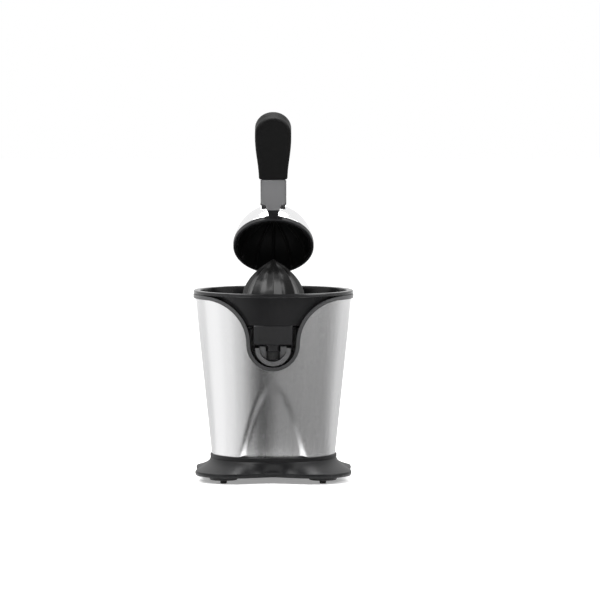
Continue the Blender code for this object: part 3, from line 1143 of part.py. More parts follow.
def make_hinge(arm):
    """The bracket on the collar, the pin through it and the torsion spring beside the arm."""
    outside = EAR_INSIDE + EAR_WALL
    plate_low = BLOCK_TOP_Z + GAP
    plate_high = plate_low + 3 * MM
    bracket = box(
        (-outside - 1 * MM, HINGE_Y - 12.5 * MM, plate_low), (outside + 1 * MM, HINGE_Y + 8 * MM, plate_high)
    )
    bracket = add_piece("hinge_bracket", bracket, "zinc_casting")
    ear = [(HINGE_Y - 9 * MM, plate_high - 1 * MM), (HINGE_Y + 7.5 * MM, plate_high - 1 * MM)]
    ear += arc((HINGE_Y, HINGE_Z), BARREL_RADIUS, 0, 180, 10)
    for low in (-outside, EAR_INSIDE):
        carve(bracket, extruded(ear, low, low + EAR_WALL, "X"), "UNION")
    bore = along(disc(HINGE_PIN_RADIUS + RUNNING_GAP, 0, 60 * MM, 16), "X", (-30 * MM, HINGE_Y, HINGE_Z))
    carve(bracket, bore)
    for name, at in zip(("left", "right"), bracket_screw_places()):
        carve(bracket, disc(SCREW_RADIUS + RUNNING_GAP, plate_low - 9 * MM, plate_high + 4 * MM, 10, at))
        add_screw(f"bracket_screw_{name}", at, plate_high + GAP + SCREW_HEAD_HEIGHT, BLOCK_TOP_Z - 6.5 * MM)
    pin = [
        (0, 0),
        (HINGE_PIN_RADIUS + 1.5 * MM, 0),
        (HINGE_PIN_RADIUS + 1.5 * MM, 1.5 * MM),
        (HINGE_PIN_RADIUS, 1.5 * MM),
    ]
    pin += [(HINGE_PIN_RADIUS, 2 * outside + 2 * MM), (0, 2 * outside + 2 * MM)]
    start_x = -outside - 1.5 * MM - GAP
    add_piece("hinge_pin", along(turned(pin, 16), "X", (start_x, HINGE_Y, HINGE_Z)), "plain_steel")
    room = EAR_INSIDE - BARREL_HALF - 2 * GAP
    spring = along(
        coil(HINGE_PIN_RADIUS + 1.8 * MM, 1.4 * MM, room, 3), "X", (BARREL_HALF + GAP, HINGE_Y, HINGE_Z)
    )
    add_piece("torsion_spring", spring, "spring_steel", arm)


def main():
    """Clears the file and builds the press."""
    for item in list(bpy.data.objects):
        bpy.data.objects.remove(item, do_unlink=True)
    make_base()
    make_housing()
    make_bowl()
    make_reamer()
    make_gearbox()
    pinion_z = make_gears()
    make_shaft()
    make_press_switch()
    make_motor(pinion_z)
    make_arm()


main()
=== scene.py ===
"""Looks of a lever-arm citrus press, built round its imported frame.

Each sub-assembly is a class that holds its own sizes, models its pieces and dresses them. All sizes
are in metres, +Z is up and -Y is the side of the spout. The press arm is modelled closed and then
turned open about its hinge, which is how the frame stores it.
"""

import logging
from collections.abc import Callable, Iterable
from dataclasses import dataclass, field
from enum import Enum
from math import acos, atan2, cos, exp, hypot, pi, radians, sin, sqrt

import bpy
from mathutils import Matrix, Vector

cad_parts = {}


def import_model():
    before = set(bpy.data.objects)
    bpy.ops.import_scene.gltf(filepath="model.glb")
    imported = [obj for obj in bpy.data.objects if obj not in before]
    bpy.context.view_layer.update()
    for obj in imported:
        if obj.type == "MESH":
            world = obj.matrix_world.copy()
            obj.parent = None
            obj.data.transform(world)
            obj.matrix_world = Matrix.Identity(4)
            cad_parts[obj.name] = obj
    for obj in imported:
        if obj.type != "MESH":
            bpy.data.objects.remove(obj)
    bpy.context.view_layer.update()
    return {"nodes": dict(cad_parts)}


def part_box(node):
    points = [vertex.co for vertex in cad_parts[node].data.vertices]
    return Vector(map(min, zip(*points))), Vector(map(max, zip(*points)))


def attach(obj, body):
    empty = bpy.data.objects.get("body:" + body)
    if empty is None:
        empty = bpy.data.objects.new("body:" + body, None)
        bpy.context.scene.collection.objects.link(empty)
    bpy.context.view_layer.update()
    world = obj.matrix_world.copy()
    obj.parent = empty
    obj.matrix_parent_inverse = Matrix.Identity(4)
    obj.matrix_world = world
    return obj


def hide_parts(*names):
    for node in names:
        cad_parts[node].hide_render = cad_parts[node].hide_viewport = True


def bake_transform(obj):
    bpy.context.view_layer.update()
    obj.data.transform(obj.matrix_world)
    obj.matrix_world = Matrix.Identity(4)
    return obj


MM = 0.001
LOG = logging.getLogger("citrus_press")
Point = tuple[float, float]
Object = bpy.types.Object


# ---------------------------------------------------------------- modelling


class Side(Enum):
    """The axis that an outline is drawn across and pulled along."""

    X = 0
    Y = 1
    Z = 2


class Bench:
    """The modelling moves that every sub-assembly uses."""

    @staticmethod
    def clear() -> None:
        """Leaves nothing selected, in object mode."""
        if bpy.context.object and bpy.context.object.mode != "OBJECT":
            bpy.ops.object.mode_set(mode="OBJECT")
        bpy.ops.object.select_all(action="DESELECT")

    @staticmethod
    def pick(piece: Object) -> None:
        """Makes a piece the only one selected."""
        Bench.clear()
        piece.select_set(True)
        bpy.context.view_layer.objects.active = piece

    @staticmethod
    def trace(name: str, points: list[Vector], closed: bool) -> Object:
        """Draws a line from point to point by extruding a vertex.

        Args:
            name: the new piece's name.
            points: the line's corners.
            closed: whether the line returns to its first point.

        Returns:
            The piece, left in edit mode with its last point selected.
        """
        Bench.clear()
        bpy.ops.mesh.primitive_plane_add(size=MM, location=(0, 0, 0))
        piece = bpy.context.object
        piece.name = name
        bpy.ops.object.mode_set(mode="EDIT")
        bpy.ops.mesh.select_all(action="SELECT")
        bpy.ops.mesh.merge(type="CENTER")
        bpy.ops.transform.translate(value=points[0])
        for here, there in zip(points, points[1:] + points[:1] * closed):
            bpy.ops.mesh.extrude_region_move(TRANSFORM_OT_translate={"value": there - here})
        return piece

    @staticmethod
    def close(piece: Object, smooth: float = 35) -> Object:
        """Merges doubles, points the faces outwards and ends edit mode.

        Args:
            piece: the piece being edited.
            smooth: the angle in degrees up to which edges are shaded smooth.

        Returns:
            The same piece.
        """
        bpy.ops.mesh.select_all(action="SELECT")
        bpy.ops.mesh.remove_doubles(threshold=0.002 * MM)
        bpy.ops.mesh.normals_make_consistent(inside=False)
        bpy.ops.object.mode_set(mode="OBJECT")
        bpy.ops.object.shade_smooth_by_angle(angle=radians(smooth))
        return piece

    @staticmethod
    def lathe(name: str, outline: list[Point], steps: int = 128, at: Point = (0, 0)) -> Object:
        """Spins a (radius, height) outline about a vertical axis.

        Args:
            name: the new piece's name.
            outline: a closed outline, or one that starts and ends on the axis.
            steps: how many parts the turn has.
            at: where the axis stands.

        Returns:
            A closed solid of revolution.
        """
        points = [Vector((at[0] + r, at[1], z)) for r, z in outline]
        on_axis = outline[0][0] == outline[-1][0] == 0
        piece = Bench.trace(name, points, closed=not on_axis)
        bpy.ops.mesh.select_all(action="SELECT")
        bpy.ops.mesh.spin(steps=steps, angle=2 * pi, center=(at[0], at[1], 0), axis=(0, 0, 1))
        return Bench.close(piece)

    @staticmethod
    def prism(name: str, outline: list[Point], low: float, high: float, side: Side = Side.Z) -> Object:
        """Pulls a flat outline out to a solid.

        Args:
            name: the new piece's name.
            outline: (y, z) points across X, (x, z) across Y or (x, y) across Z.
            low: where the solid starts along its axis.
            high: where it ends.
            side: the axis.

        Returns:
            A closed prism.
        """
        points = []
        for a, b in outline:
            place = [a, b]
            place.insert(side.value, low)
            points.append(Vector(place))
        piece = Bench.trace(name, points, closed=True)
        bpy.ops.mesh.select_all(action="SELECT")
        bpy.ops.mesh.remove_doubles(threshold=0.002 * MM)
        bpy.ops.mesh.edge_face_add()
        pull = Vector((0, 0, 0))
        pull[side.value] = high - low
        bpy.ops.mesh.extrude_region_move(TRANSFORM_OT_translate={"value": pull})
        return Bench.close(piece)

    @staticmethod
    def block(name: str, low: Point, high: Point) -> Object:
        """A block between two opposite (x, y, z) corners."""
        outline = [(low[0], low[1]), (high[0], low[1]), (high[0], high[1]), (low[0], high[1])]
        return Bench.prism(name, outline, low[2], high[2])

    @staticmethod
    def modify(piece: Object, kind: str, **settings: object) -> None:
        """Adds a modifier with its settings and applies it."""
        Bench.pick(piece)
        modifier = piece.modifiers.new(kind.title(), kind)
        for key, value in settings.items():
            setattr(modifier, key, value)
        bpy.ops.object.modifier_apply(modifier=modifier.name)

    @staticmethod
    def combine(piece: Object, tool: Object, operation: str = "DIFFERENCE") -> None:
        """Cuts a tool out of a piece, joins it on or keeps what both fill, and removes the tool."""
        Bench.modify(piece, "BOOLEAN", object=tool, operation=operation, solver="EXACT")
        bpy.data.objects.remove(tool)
        Bench.pick(piece)
        bpy.ops.object.mode_set(mode="EDIT")
        Bench.close(piece)

    @staticmethod
    def round_edges(piece: Object, width: float, segments: int = 3, angle: float = 40) -> None:
        """Rounds the edges sharper than an angle in degrees."""
        Bench.modify(
            piece,
            "BEVEL",
            width=width,
            segments=segments,
            angle_limit=radians(angle),
            use_clamp_overlap=True,
            harden_normals=False,
        )
        bpy.ops.object.shade_smooth_by_angle(angle=radians(50))

    @staticmethod
    def move(piece: Object, matrix: Matrix) -> Object:
        """Moves a piece and puts the move into its mesh."""
        Bench.pick(piece)
        piece.matrix_world = matrix @ piece.matrix_world
        bpy.ops.object.transform_apply(location=True, rotation=True, scale=True)
        return piece

    @staticmethod
    def reshape(piece: Object, rule: Callable[[Vector], Vector]) -> None:
        """Moves each vertex to where a rule puts it."""
        for vertex in piece.data.vertices:
            vertex.co = rule(vertex.co)
        piece.data.update()

    @staticmethod
    def copy_node(node: str, name: str) -> Object:
        """A merged copy of a frame piece, free to be changed.

        Args:
            node: the frame piece's name.
            name: the copy's name.

        Returns:
            The copy, with no material.
        """
        source = bpy.data.objects[node]
        piece = bpy.data.objects.new(name, source.data.copy())
        bpy.context.scene.collection.objects.link(piece)
        piece.data.materials.clear()
        Bench.pick(piece)
        bpy.ops.object.mode_set(mode="EDIT")
        bpy.ops.mesh.select_all(action="SELECT")
        bpy.ops.mesh.remove_doubles(threshold=0.002 * MM)
        bpy.ops.mesh.dissolve_limited(angle_limit=radians(0.5))
        bpy.ops.object.mode_set(mode="OBJECT")
        bpy.ops.object.shade_smooth_by_angle(angle=radians(35))
        return piece


def arc(centre: Point, radius: float, start: float, end: float, steps: int) -> list[Point]:
    """Points on an arc.

    Args:
        centre: the arc's centre.
        radius: its radius.
        start: its first angle in degrees.
        end: its last angle in degrees.
        steps: how many parts it has.

    Returns:
        The points, both ends included.
    """
    angles = [radians(start + (end - start) * i / steps) for i in range(steps + 1)]
    return [(centre[0] + radius * cos(a), centre[1] + radius * sin(a)) for a in angles]


def rounded(outline: list[Point], radius: float, corners: Iterable[int], steps: int = 5) -> list[Point]:
    """Replaces some corners of a closed outline by arcs.

    Args:
        outline: the closed outline.
        radius: how far from a corner its arc starts.
        corners: the indices of the corners to round.
        steps: how many parts each arc has.

    Returns:
        The new outline.
    """
    chosen = set(corners)
    points: list[Point] = []
    for i, corner in enumerate(outline):
        if i not in chosen:
            points.append(corner)
            continue
        here = Vector(corner)
        ends = []
        for other in (outline[i - 1], outline[(i + 1) % len(outline)]):
            way = Vector(other) - here
            ends.append(here + way.normalized() * min(radius, way.length * 0.49))
        for k in range(steps + 1):
            t = k / steps
            point = ends[0] * (1 - t) ** 2 + here * 2 * t * (1 - t) + ends[1] * t**2
            points.append((point.x, point.y))
    return points


# ---------------------------------------------------------------- finishes


class Lay(Enum):
    """Which way a surface's marks run, as how much a pattern is stretched along X, Y and Z."""

    EVEN = (1.0, 1.0, 1.0)
    UPRIGHT = (1.0, 1.0, 0.02)
    ROUND = (0.12, 0.12, 1.0)


def surface_group() -> bpy.types.NodeTree:
    """Builds once the group that varies a surface's colour, roughness and height.

    Returns:
        The shared shader node group.
    """
    name = "Surface variation"
    if name in bpy.data.node_groups:
        return bpy.data.node_groups[name]
    group = bpy.data.node_groups.new(name, "ShaderNodeTree")
    sockets = group.interface
    sockets.new_socket("Vector", in_out="INPUT", socket_type="NodeSocketVector")
    sockets.new_socket("Colour", in_out="INPUT", socket_type="NodeSocketColor")
    for label in ("Shade", "Patch scale", "Grain scale", "Roughness", "Spread"):
        sockets.new_socket(label, in_out="INPUT", socket_type="NodeSocketFloat")
    sockets.new_socket("Colour", in_out="OUTPUT", socket_type="NodeSocketColor")
    sockets.new_socket("Roughness", in_out="OUTPUT", socket_type="NodeSocketFloat")
    sockets.new_socket("Height", in_out="OUTPUT", socket_type="NodeSocketFloat")
    made, link = group.nodes, group.links.new
    enter, leave = made.new("NodeGroupInput"), made.new("NodeGroupOutput")
    patch, grain = made.new("ShaderNodeTexNoise"), made.new("ShaderNodeTexNoise")
    patch.inputs["Detail"].default_value = 4
    grain.inputs["Detail"].default_value = 2
    for noise, scale in ((patch, "Patch scale"), (grain, "Grain scale")):
        link(enter.outputs["Vector"], noise.inputs["Vector"])
        link(enter.outputs[scale], noise.inputs["Scale"])
    swing = made.new("ShaderNodeMapRange")
    swing.inputs["To Min"].default_value = -1
    link(patch.outputs["Fac"], swing.inputs["Value"])
    shade = made.new("ShaderNodeMath")
    shade.operation = "MULTIPLY_ADD"
    link(swing.outputs["Result"], shade.inputs[0])
    link(enter.outputs["Shade"], shade.inputs[1])
    shade.inputs[2].default_value = 1.0
    tint = made.new("ShaderNodeVectorMath")
    tint.operation = "SCALE"
    link(enter.outputs["Colour"], tint.inputs["Vector"])
    link(shade.outputs["Value"], tint.inputs["Scale"])
    link(tint.outputs["Vector"], leave.inputs["Colour"])
    blend = made.new("ShaderNodeMath")
    blend.operation = "ADD"
    link(patch.outputs["Fac"], blend.inputs[0])
    link(grain.outputs["Fac"], blend.inputs[1])
    centred = made.new("ShaderNodeMath")
    centred.operation = "SUBTRACT"
    link(blend.outputs["Value"], centred.inputs[0])
    centred.inputs[1].default_value = 1.0
    rough = made.new("ShaderNodeMath")
    rough.operation = "MULTIPLY_ADD"
    rough.use_clamp = True
    link(centred.outputs["Value"], rough.inputs[0])
    link(enter.outputs["Spread"], rough.inputs[1])
    link(enter.outputs["Roughness"], rough.inputs[2])
    link(rough.outputs["Value"], leave.inputs["Roughness"])
    link(grain.outputs["Fac"], leave.inputs["Height"])
    return group


@dataclass(frozen=True)
class Finish:
    """A surface: its colour, how it shines and what its grain is like.

    Shade and spread are how far the colour and the roughness wander. Patch and grain are the
    pattern's scales per metre, and depth is the grain's height.
    """

    name: str
    colour: tuple[float, float, float]
    roughness: float
    metallic: float = 0.0
    shade: float = 0.06
    spread: float = 0.08
    patch: float = 30.0
    grain: float = 2500.0
    depth: float = 0.02 * MM
    bump: float = 0.25
    coat: float = 0.0
    coat_roughness: float = 0.1
    specular: float = 0.5
    lay: Lay = Lay.EVEN

    def material(self) -> bpy.types.Material:
        """Makes the material, or finds it if it was made before.

        Returns:
            A Principled material fed by the shared group.
        """
        if self.name in bpy.data.materials:
            return bpy.data.materials[self.name]
        made = bpy.data.materials.new(self.name)
        made.use_nodes = True
        nodes, link = made.node_tree.nodes, made.node_tree.links.new
        shader = nodes["Principled BSDF"]
        shader.inputs["Metallic"].default_value = self.metallic
        shader.inputs["Coat Weight"].default_value = self.coat
        shader.inputs["Coat Roughness"].default_value = self.coat_roughness
        shader.inputs["Specular IOR Level"].default_value = self.specular
        place = nodes.new("ShaderNodeTexCoord")
        mapping = nodes.new("ShaderNodeMapping")
        mapping.inputs["Scale"].default_value = self.lay.value
        link(place.outputs["Object"], mapping.inputs["Vector"])
        group = nodes.new("ShaderNodeGroup")
        group.node_tree = surface_group()
        group.inputs["Colour"].default_value = (*self.colour, 1)
        group.inputs["Shade"].default_value = self.shade
        group.inputs["Patch scale"].default_value = self.patch
        group.inputs["Grain scale"].default_value = self.grain
        group.inputs["Roughness"].default_value = self.roughness
        group.inputs["Spread"].default_value = self.spread
        link(mapping.outputs["Vector"], group.inputs["Vector"])
        bump = nodes.new("ShaderNodeBump")
        bump.inputs["Strength"].default_value = self.bump
        bump.inputs["Distance"].default_value = self.depth
        link(group.outputs["Height"], bump.inputs["Height"])
        link(group.outputs["Colour"], shader.inputs["Base Color"])
        link(group.outputs["Roughness"], shader.inputs["Roughness"])
        link(bump.outputs["Normal"], shader.inputs["Normal"])
        return made


BLACK_PLASTIC = Finish("satin black plastic", (0.006, 0.006, 0.0065), 0.42, depth=0.03 * MM, specular=0.2)
RIM_PLASTIC = Finish("dark grey rim plastic", (0.034, 0.034, 0.035), 0.33, depth=0.02 * MM, specular=0.4)
SMOKE_PLASTIC = Finish(
    "smoky half-gloss plastic", (0.009, 0.009, 0.0095), 0.20, coat=0.1, depth=0.01 * MM, specular=0.25
)
REAMER_PLASTIC = Finish(
    "half-gloss reamer plastic", (0.006, 0.006, 0.006), 0.28, coat=0.1, depth=0.01 * MM, specular=0.2
)
CUP_PLASTIC = Finish("black press-cup plastic", (0.004, 0.004, 0.004), 0.42, depth=0.02 * MM, specular=0.12)
SOFT_GRIP = Finish("soft-touch grip", (0.005, 0.005, 0.005), 0.50, grain=4000, depth=0.03 * MM, specular=0.13)
GREY_PLASTIC = Finish("satin grey plastic", (0.120, 0.120, 0.123), 0.38)
WHITE_PLASTIC = Finish("natural acetal", (0.680, 0.680, 0.650), 0.42)
BRUSHED_STEEL = Finish(
    "brushed steel", (0.840, 0.840, 0.845), 0.27, 1.0, 0.03, 0.10, 12, 9000, 0.008 * MM, 0.35, lay=Lay.UPRIGHT
)
POLISHED_STEEL = Finish(
    "polished steel", (0.880, 0.880, 0.885), 0.10, 1.0, 0.02, 0.05, 25, 1500, 0.004 * MM, 0.05, lay=Lay.ROUND
)
SPOUT_METAL = Finish("satin silver spout", (0.330, 0.330, 0.335), 0.30, 1.0, 0.03, 0.08)
PLAIN_STEEL = Finish("zinc-plated steel", (0.480, 0.480, 0.490), 0.32, 1.0, 0.06, 0.12)
SPRING_STEEL = Finish("spring steel", (0.280, 0.280, 0.290), 0.33, 1.0, 0.08, 0.10)
COPPER = Finish("enamelled copper", (0.620, 0.270, 0.120), 0.34, 1.0, 0.12, 0.10, grain=1800, lay=Lay.UPRIGHT)
BRONZE = Finish("sintered bronze", (0.460, 0.300, 0.140), 0.45, 1.0, 0.10, 0.12, grain=6000)
RUBBER = Finish(
    "matt rubber", (0.014, 0.014, 0.014), 0.75, shade=0.10, grain=3000, depth=0.04 * MM, specular=0.3
)
CASTING = Finish(
    "painted casting", (0.010, 0.010, 0.011), 0.36, shade=0.08, grain=1200, depth=0.05 * MM, specular=0.3
)


def dress(piece: Object, finish: Finish, body: str, *nodes: str) -> Object:
    """Gives a new piece its finish and its body, and hides the frame pieces that it stands for.

    Args:
        piece: the new piece, in its place.
        finish: its finish.
        body: the frame body that it rides on.
        nodes: the frame pieces that it replaces, which are hidden.

    Returns:
        The same piece.
    """
    piece.data.materials.clear()
    piece.data.materials.append(finish.material())
    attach(piece, body)
    if nodes:
        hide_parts(*nodes)
    LOG.info("%s: %d faces", piece.name, len(piece.data.polygons))
    return piece


def refinish(frame: dict, finishes: dict[Finish, tuple[str, ...]]) -> None:
    """Gives frame pieces that keep their shape a procedural finish.

    Args:
        finishes: each finish, with the names of the pieces that have it.
    """
    for finish, names in finishes.items():
        for name in names:
            piece = frame["nodes"][name]
            piece.data.materials.clear()
            piece.data.materials.append(finish.material())
            LOG.info("%s keeps its shape", name)


# ---------------------------------------------------------------- base and body


@dataclass
class Base:
    """The flared base on four ears, with its feet and the hole for the cord's gland."""

    lip: float = 77.3 * MM
    top_z: float = 31.0 * MM
    floor_z: float = 21.0 * MM
    edge_z: float = 10.5 * MM
    ear_reach: float = 111.0 * MM
    side_reach: float = 91.5 * MM
    front_scoop: float = 19.5 * MM
    rear_scoop: float = 5.5 * MM
    pad_at: Point = (60.0 * MM, 67.0 * MM)
    pad_radius: float = 17.0 * MM
    pad_z: float = 4.5 * MM

    def reach(self, angle: float) -> float:
        """Plan radius of the edge at an angle."""
        lobes = self.side_reach + (self.ear_reach - self.side_reach) * (sin(2 * angle) ** 2) ** 0.8
        from_rear = abs((angle + 0.5 * pi) % (2 * pi) - pi)
        front = self.front_scoop * exp(-(((pi - from_rear) / radians(25)) ** 2))
        return lobes - front - self.rear_scoop * exp(-((from_rear / radians(25)) ** 2))

    def spread(self, point: Vector) -> Vector:
        """Pulls a point of the even flare in or out to the edge that its angle has."""
        radius = hypot(point.x, point.y)
        if radius <= self.lip + 0.01 * MM:
            return point
        even = self.ear_reach - self.lip
        share = (self.reach(atan2(point.y, point.x)) - self.lip) / even
        wanted = self.lip + (radius - self.lip) * share
        return Vector((point.x * wanted / radius, point.y * wanted / radius, point.z))

    def make_moulding(self) -> Object:
        """Models the base: a lipped flare, drawn even all round, with its edge then pulled to the ears."""
        lip, edge, flare = self.lip, self.edge_z, self.ear_reach - self.lip
        drop = self.floor_z - edge
        outline = [
            (lip - 1.5 * MM, self.top_z - 0.4 * MM),
            (lip - 1.1 * MM, self.top_z),
            (lip - 0.4 * MM, self.top_z),
            (lip, self.top_z - 0.5 * MM),
            (lip, self.top_z - 4.4 * MM),
            (lip - 0.5 * MM, self.top_z - 4.9 * MM),
            (lip - 0.3 * MM, self.top_z - 5.5 * MM),
        ]
        for i in range(13):
            t = i / 12
            outline.append(
                (lip + flare * (0.01 + 0.97 * t**1.35), self.floor_z + 4 * MM - (drop + 1.8 * MM) * t**0.9)
            )
        outline += [
            (lip + flare, edge + 1.0 * MM),
            (lip + flare, edge - 0.8 * MM),
            (lip + flare - 1.0 * MM, edge - 2.8 * MM),
            (lip + flare - 3.4 * MM, edge - 2.6 * MM),
            (lip + flare - 4.4 * MM, edge),
            (lip + 0.45 * flare, self.floor_z - 0.45 * drop - 2.6 * MM),
            (lip - 3.4 * MM, self.floor_z - 2.6 * MM),
            (lip - 13.5 * MM, self.floor_z - 2.6 * MM),
            (lip - 13.5 * MM, self.floor_z),
            (lip - 4.7 * MM, self.floor_z),
            (lip - 4.7 * MM, self.top_z - 3.3 * MM),
            (lip - 1.5 * MM, self.top_z - 3.3 * MM),
        ]
        base = Bench.lathe("flared_base", outline, 192)
        Bench.reshape(base, self.spread)
        for x in (-self.pad_at[0], self.pad_at[0]):
            for y in (-self.pad_at[1], self.pad_at[1]):
                rim = self.pad_radius
                pad = [
                    (0, self.pad_z),
                    (rim - 1 * MM, self.pad_z),
                    (rim, self.pad_z + 1 * MM),
                    (rim, edge + 2 * MM),
                ]
                Bench.combine(base, Bench.lathe("pad", pad + [(0, edge + 2 * MM)], 48, (x, y)), "UNION")
        low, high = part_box("cord_gland")
        hole = [(0, low.y - 1 * MM), (3.1 * MM, low.y - 1 * MM), (3.1 * MM, high.y), (0, high.y)]
        cutter = Bench.lathe("gland_hole", hole, 24)
        turn = Matrix.Rotation(radians(-90), 4, "X")
        Bench.combine(base, Bench.move(cutter, Matrix.Translation((0, 0, (low.z + high.z) / 2)) @ turn))
        return base

    def build(self) -> None:
        """Models and dresses the base."""
        dress(self.make_moulding(), BLACK_PLASTIC, "housing", "base_moulding")
        for name, (x, y) in {
            "front_left": (-1, -1),
            "front_right": (1, -1),
            "rear_left": (-1, 1),
            "rear_right": (1, 1),
        }.items():
            top = self.pad_z - 0.3 * MM
            foot = [
                (0, 0.9 * MM),
                (2.2 * MM, 0.9 * MM),
                (2.5 * MM, 0),
                (3.4 * MM, 0),
                (4 * MM, 0.7 * MM),
                (4 * MM, top),
                (0, top),
            ]
            made = Bench.lathe(f"foot_{name}", foot, 48, (x * self.pad_at[0], y * self.pad_at[1]))
            dress(made, RUBBER, "housing", f"rubber_foot_{name}")


@dataclass
class Body:
    """The steel sheath with its pressed-in arch, the collar and its U-shaped surround."""

    rim: float = 97.5 * MM
    rim_top: float = 230.5 * MM
    foot: float = 75.5 * MM
    foot_z: float = 31.0 * MM
    steel: float = 1.2 * MM
    steel_low: float = 28.0 * MM
    steel_high: float = 220.7 * MM
    arch: float = 32.0 * MM
    arch_z: float = 169.5 * MM
    trim: float = 4.2 * MM
    recess_rise: float = 91.0 * MM
    recess_half: float = 42.0 * MM
    recess_depth: float = 3.6 * MM
    recess_edge: float = 8.0 * MM

    def radius(self, z: float) -> float:
        """Outer radius of the steel at a height."""
        taper = (self.rim - 2.5 * MM - self.foot) / (self.steel_high - self.foot_z)
        return self.foot + taper * (z - self.foot_z)

    def press(self, point: Vector) -> Vector:
        """Pushes a point of the steel's front in, under the arch."""
        below = self.foot_z + self.recess_rise - point.z
        if point.y > 0 or below <= 0:
            return point
        inside = (self.recess_half * sqrt(below / self.recess_rise) - abs(point.x)) / self.recess_edge
        share = min(max(inside, 0.0), 1.0)
        fade = min(below / (3 * self.recess_edge), 1.0)
        depth = self.recess_depth * fade * share * share * (3 - 2 * share)
        keep = 1 - depth / hypot(point.x, point.y)
        return Vector((point.x * keep, point.y * keep, point.z))

    def arch_outline(self, inset: float, top_z: float) -> list[Point]:
        """The U round the spout: a half circle, and an arc each side that flares up to the rim.

        Args:
            inset: how far inside the surround's outer edge.
            top_z: where the outline ends.

        Returns:
            A closed outline in (x, z).
        """
        flare = self.steel_high + 0.7 * MM - self.arch_z
        centre = self.arch + flare
        right = arc((centre, self.arch_z), flare + inset, 180, 90, 28) + [(centre, top_z)]
        bottom = arc((0, self.arch_z), self.arch - inset, 180, 360, 48)
        left = [(-x, z) for x, z in reversed(right)]
        return left[:-1] + bottom + right[1:]

    def make_steel(self) -> Object:
        """Models the sheath, presses the arch in and cuts the surround's place out."""
        rows = [self.steel_low + (self.steel_high - self.steel_low) * i / 60 for i in range(61)]
        outline = [(self.radius(z), z) for z in rows]
        outline += [(self.radius(z) - self.steel, z) for z in reversed(rows)]
        steel = Bench.lathe("steel_sheath", outline, 192)
        Bench.reshape(steel, self.press)
        cutter = Bench.prism(
            "surround_place", self.arch_outline(-0.3 * MM, self.rim_top), -self.rim * 1.4, -20 * MM, Side.Y
        )
        Bench.combine(steel, cutter)
        Bench.round_edges(steel, 0.25 * MM, 2, 60)
        return steel

    def make_collar(self) -> Object:
        """Models the collar: its rim, the skirt behind the steel and the surround."""
        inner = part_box("top_collar")
        under, top = self.steel_high + 0.3 * MM, inner[1].z
        back = self.steel + 0.3 * MM
        deck = 190.8 * MM
        skirt = self.radius(under) - back
        low_skirt = self.radius(deck - 2.5 * MM) - back
        outline = [
            (50 * MM, deck - 2.5 * MM),
            (low_skirt, deck - 2.5 * MM),
            (skirt, under),
            (self.rim - 0.6 * MM, under),
            (self.rim, under + 0.6 * MM),
            (self.rim, top - 0.6 * MM),
            (self.rim - 0.6 * MM, top),
            (skirt - 2.5 * MM, top),
            (low_skirt - 2.5 * MM, deck),
            (50 * MM, deck),
        ]
        collar = Bench.lathe("rim_collar", outline, 192)
        low, high = self.arch_z - self.arch - 4 * MM, top - 0.6 * MM
        deep = self.steel + 2.3 * MM
        proud = 1.5 * MM
        plate = [
            (self.radius(low) - deep, low),
            (self.radius(low) + proud, low),
            (self.radius(high) + proud, high),
            (self.radius(high) - deep, high),
        ]
        plate = Bench.lathe("surround", plate, 256)
        front = (-self.rim * 1.4, -20 * MM)
        Bench.combine(
            plate, Bench.prism("outside", self.arch_outline(0, self.rim_top), *front, Side.Y), "INTERSECT"
        )
        Bench.combine(
            plate, Bench.prism("inside", self.arch_outline(self.trim, self.rim_top + 9 * MM), *front, Side.Y)
        )
        Bench.round_edges(plate, 0.6 * MM, 3, 50)
        Bench.combine(
            collar, Bench.prism("gap", self.arch_outline(self.trim, self.rim_top + 9 * MM), *front, Side.Y)
        )
        Bench.combine(collar, plate, "UNION")
        return collar

    def build(self) -> None:
        """Models and dresses the body."""
        dress(self.make_steel(), BRUSHED_STEEL, "housing", "steel_shell")
        dress(self.make_collar(), RIM_PLASTIC, "housing", "top_collar")


# ---------------------------------------------------------------- bowl, reamer and spout


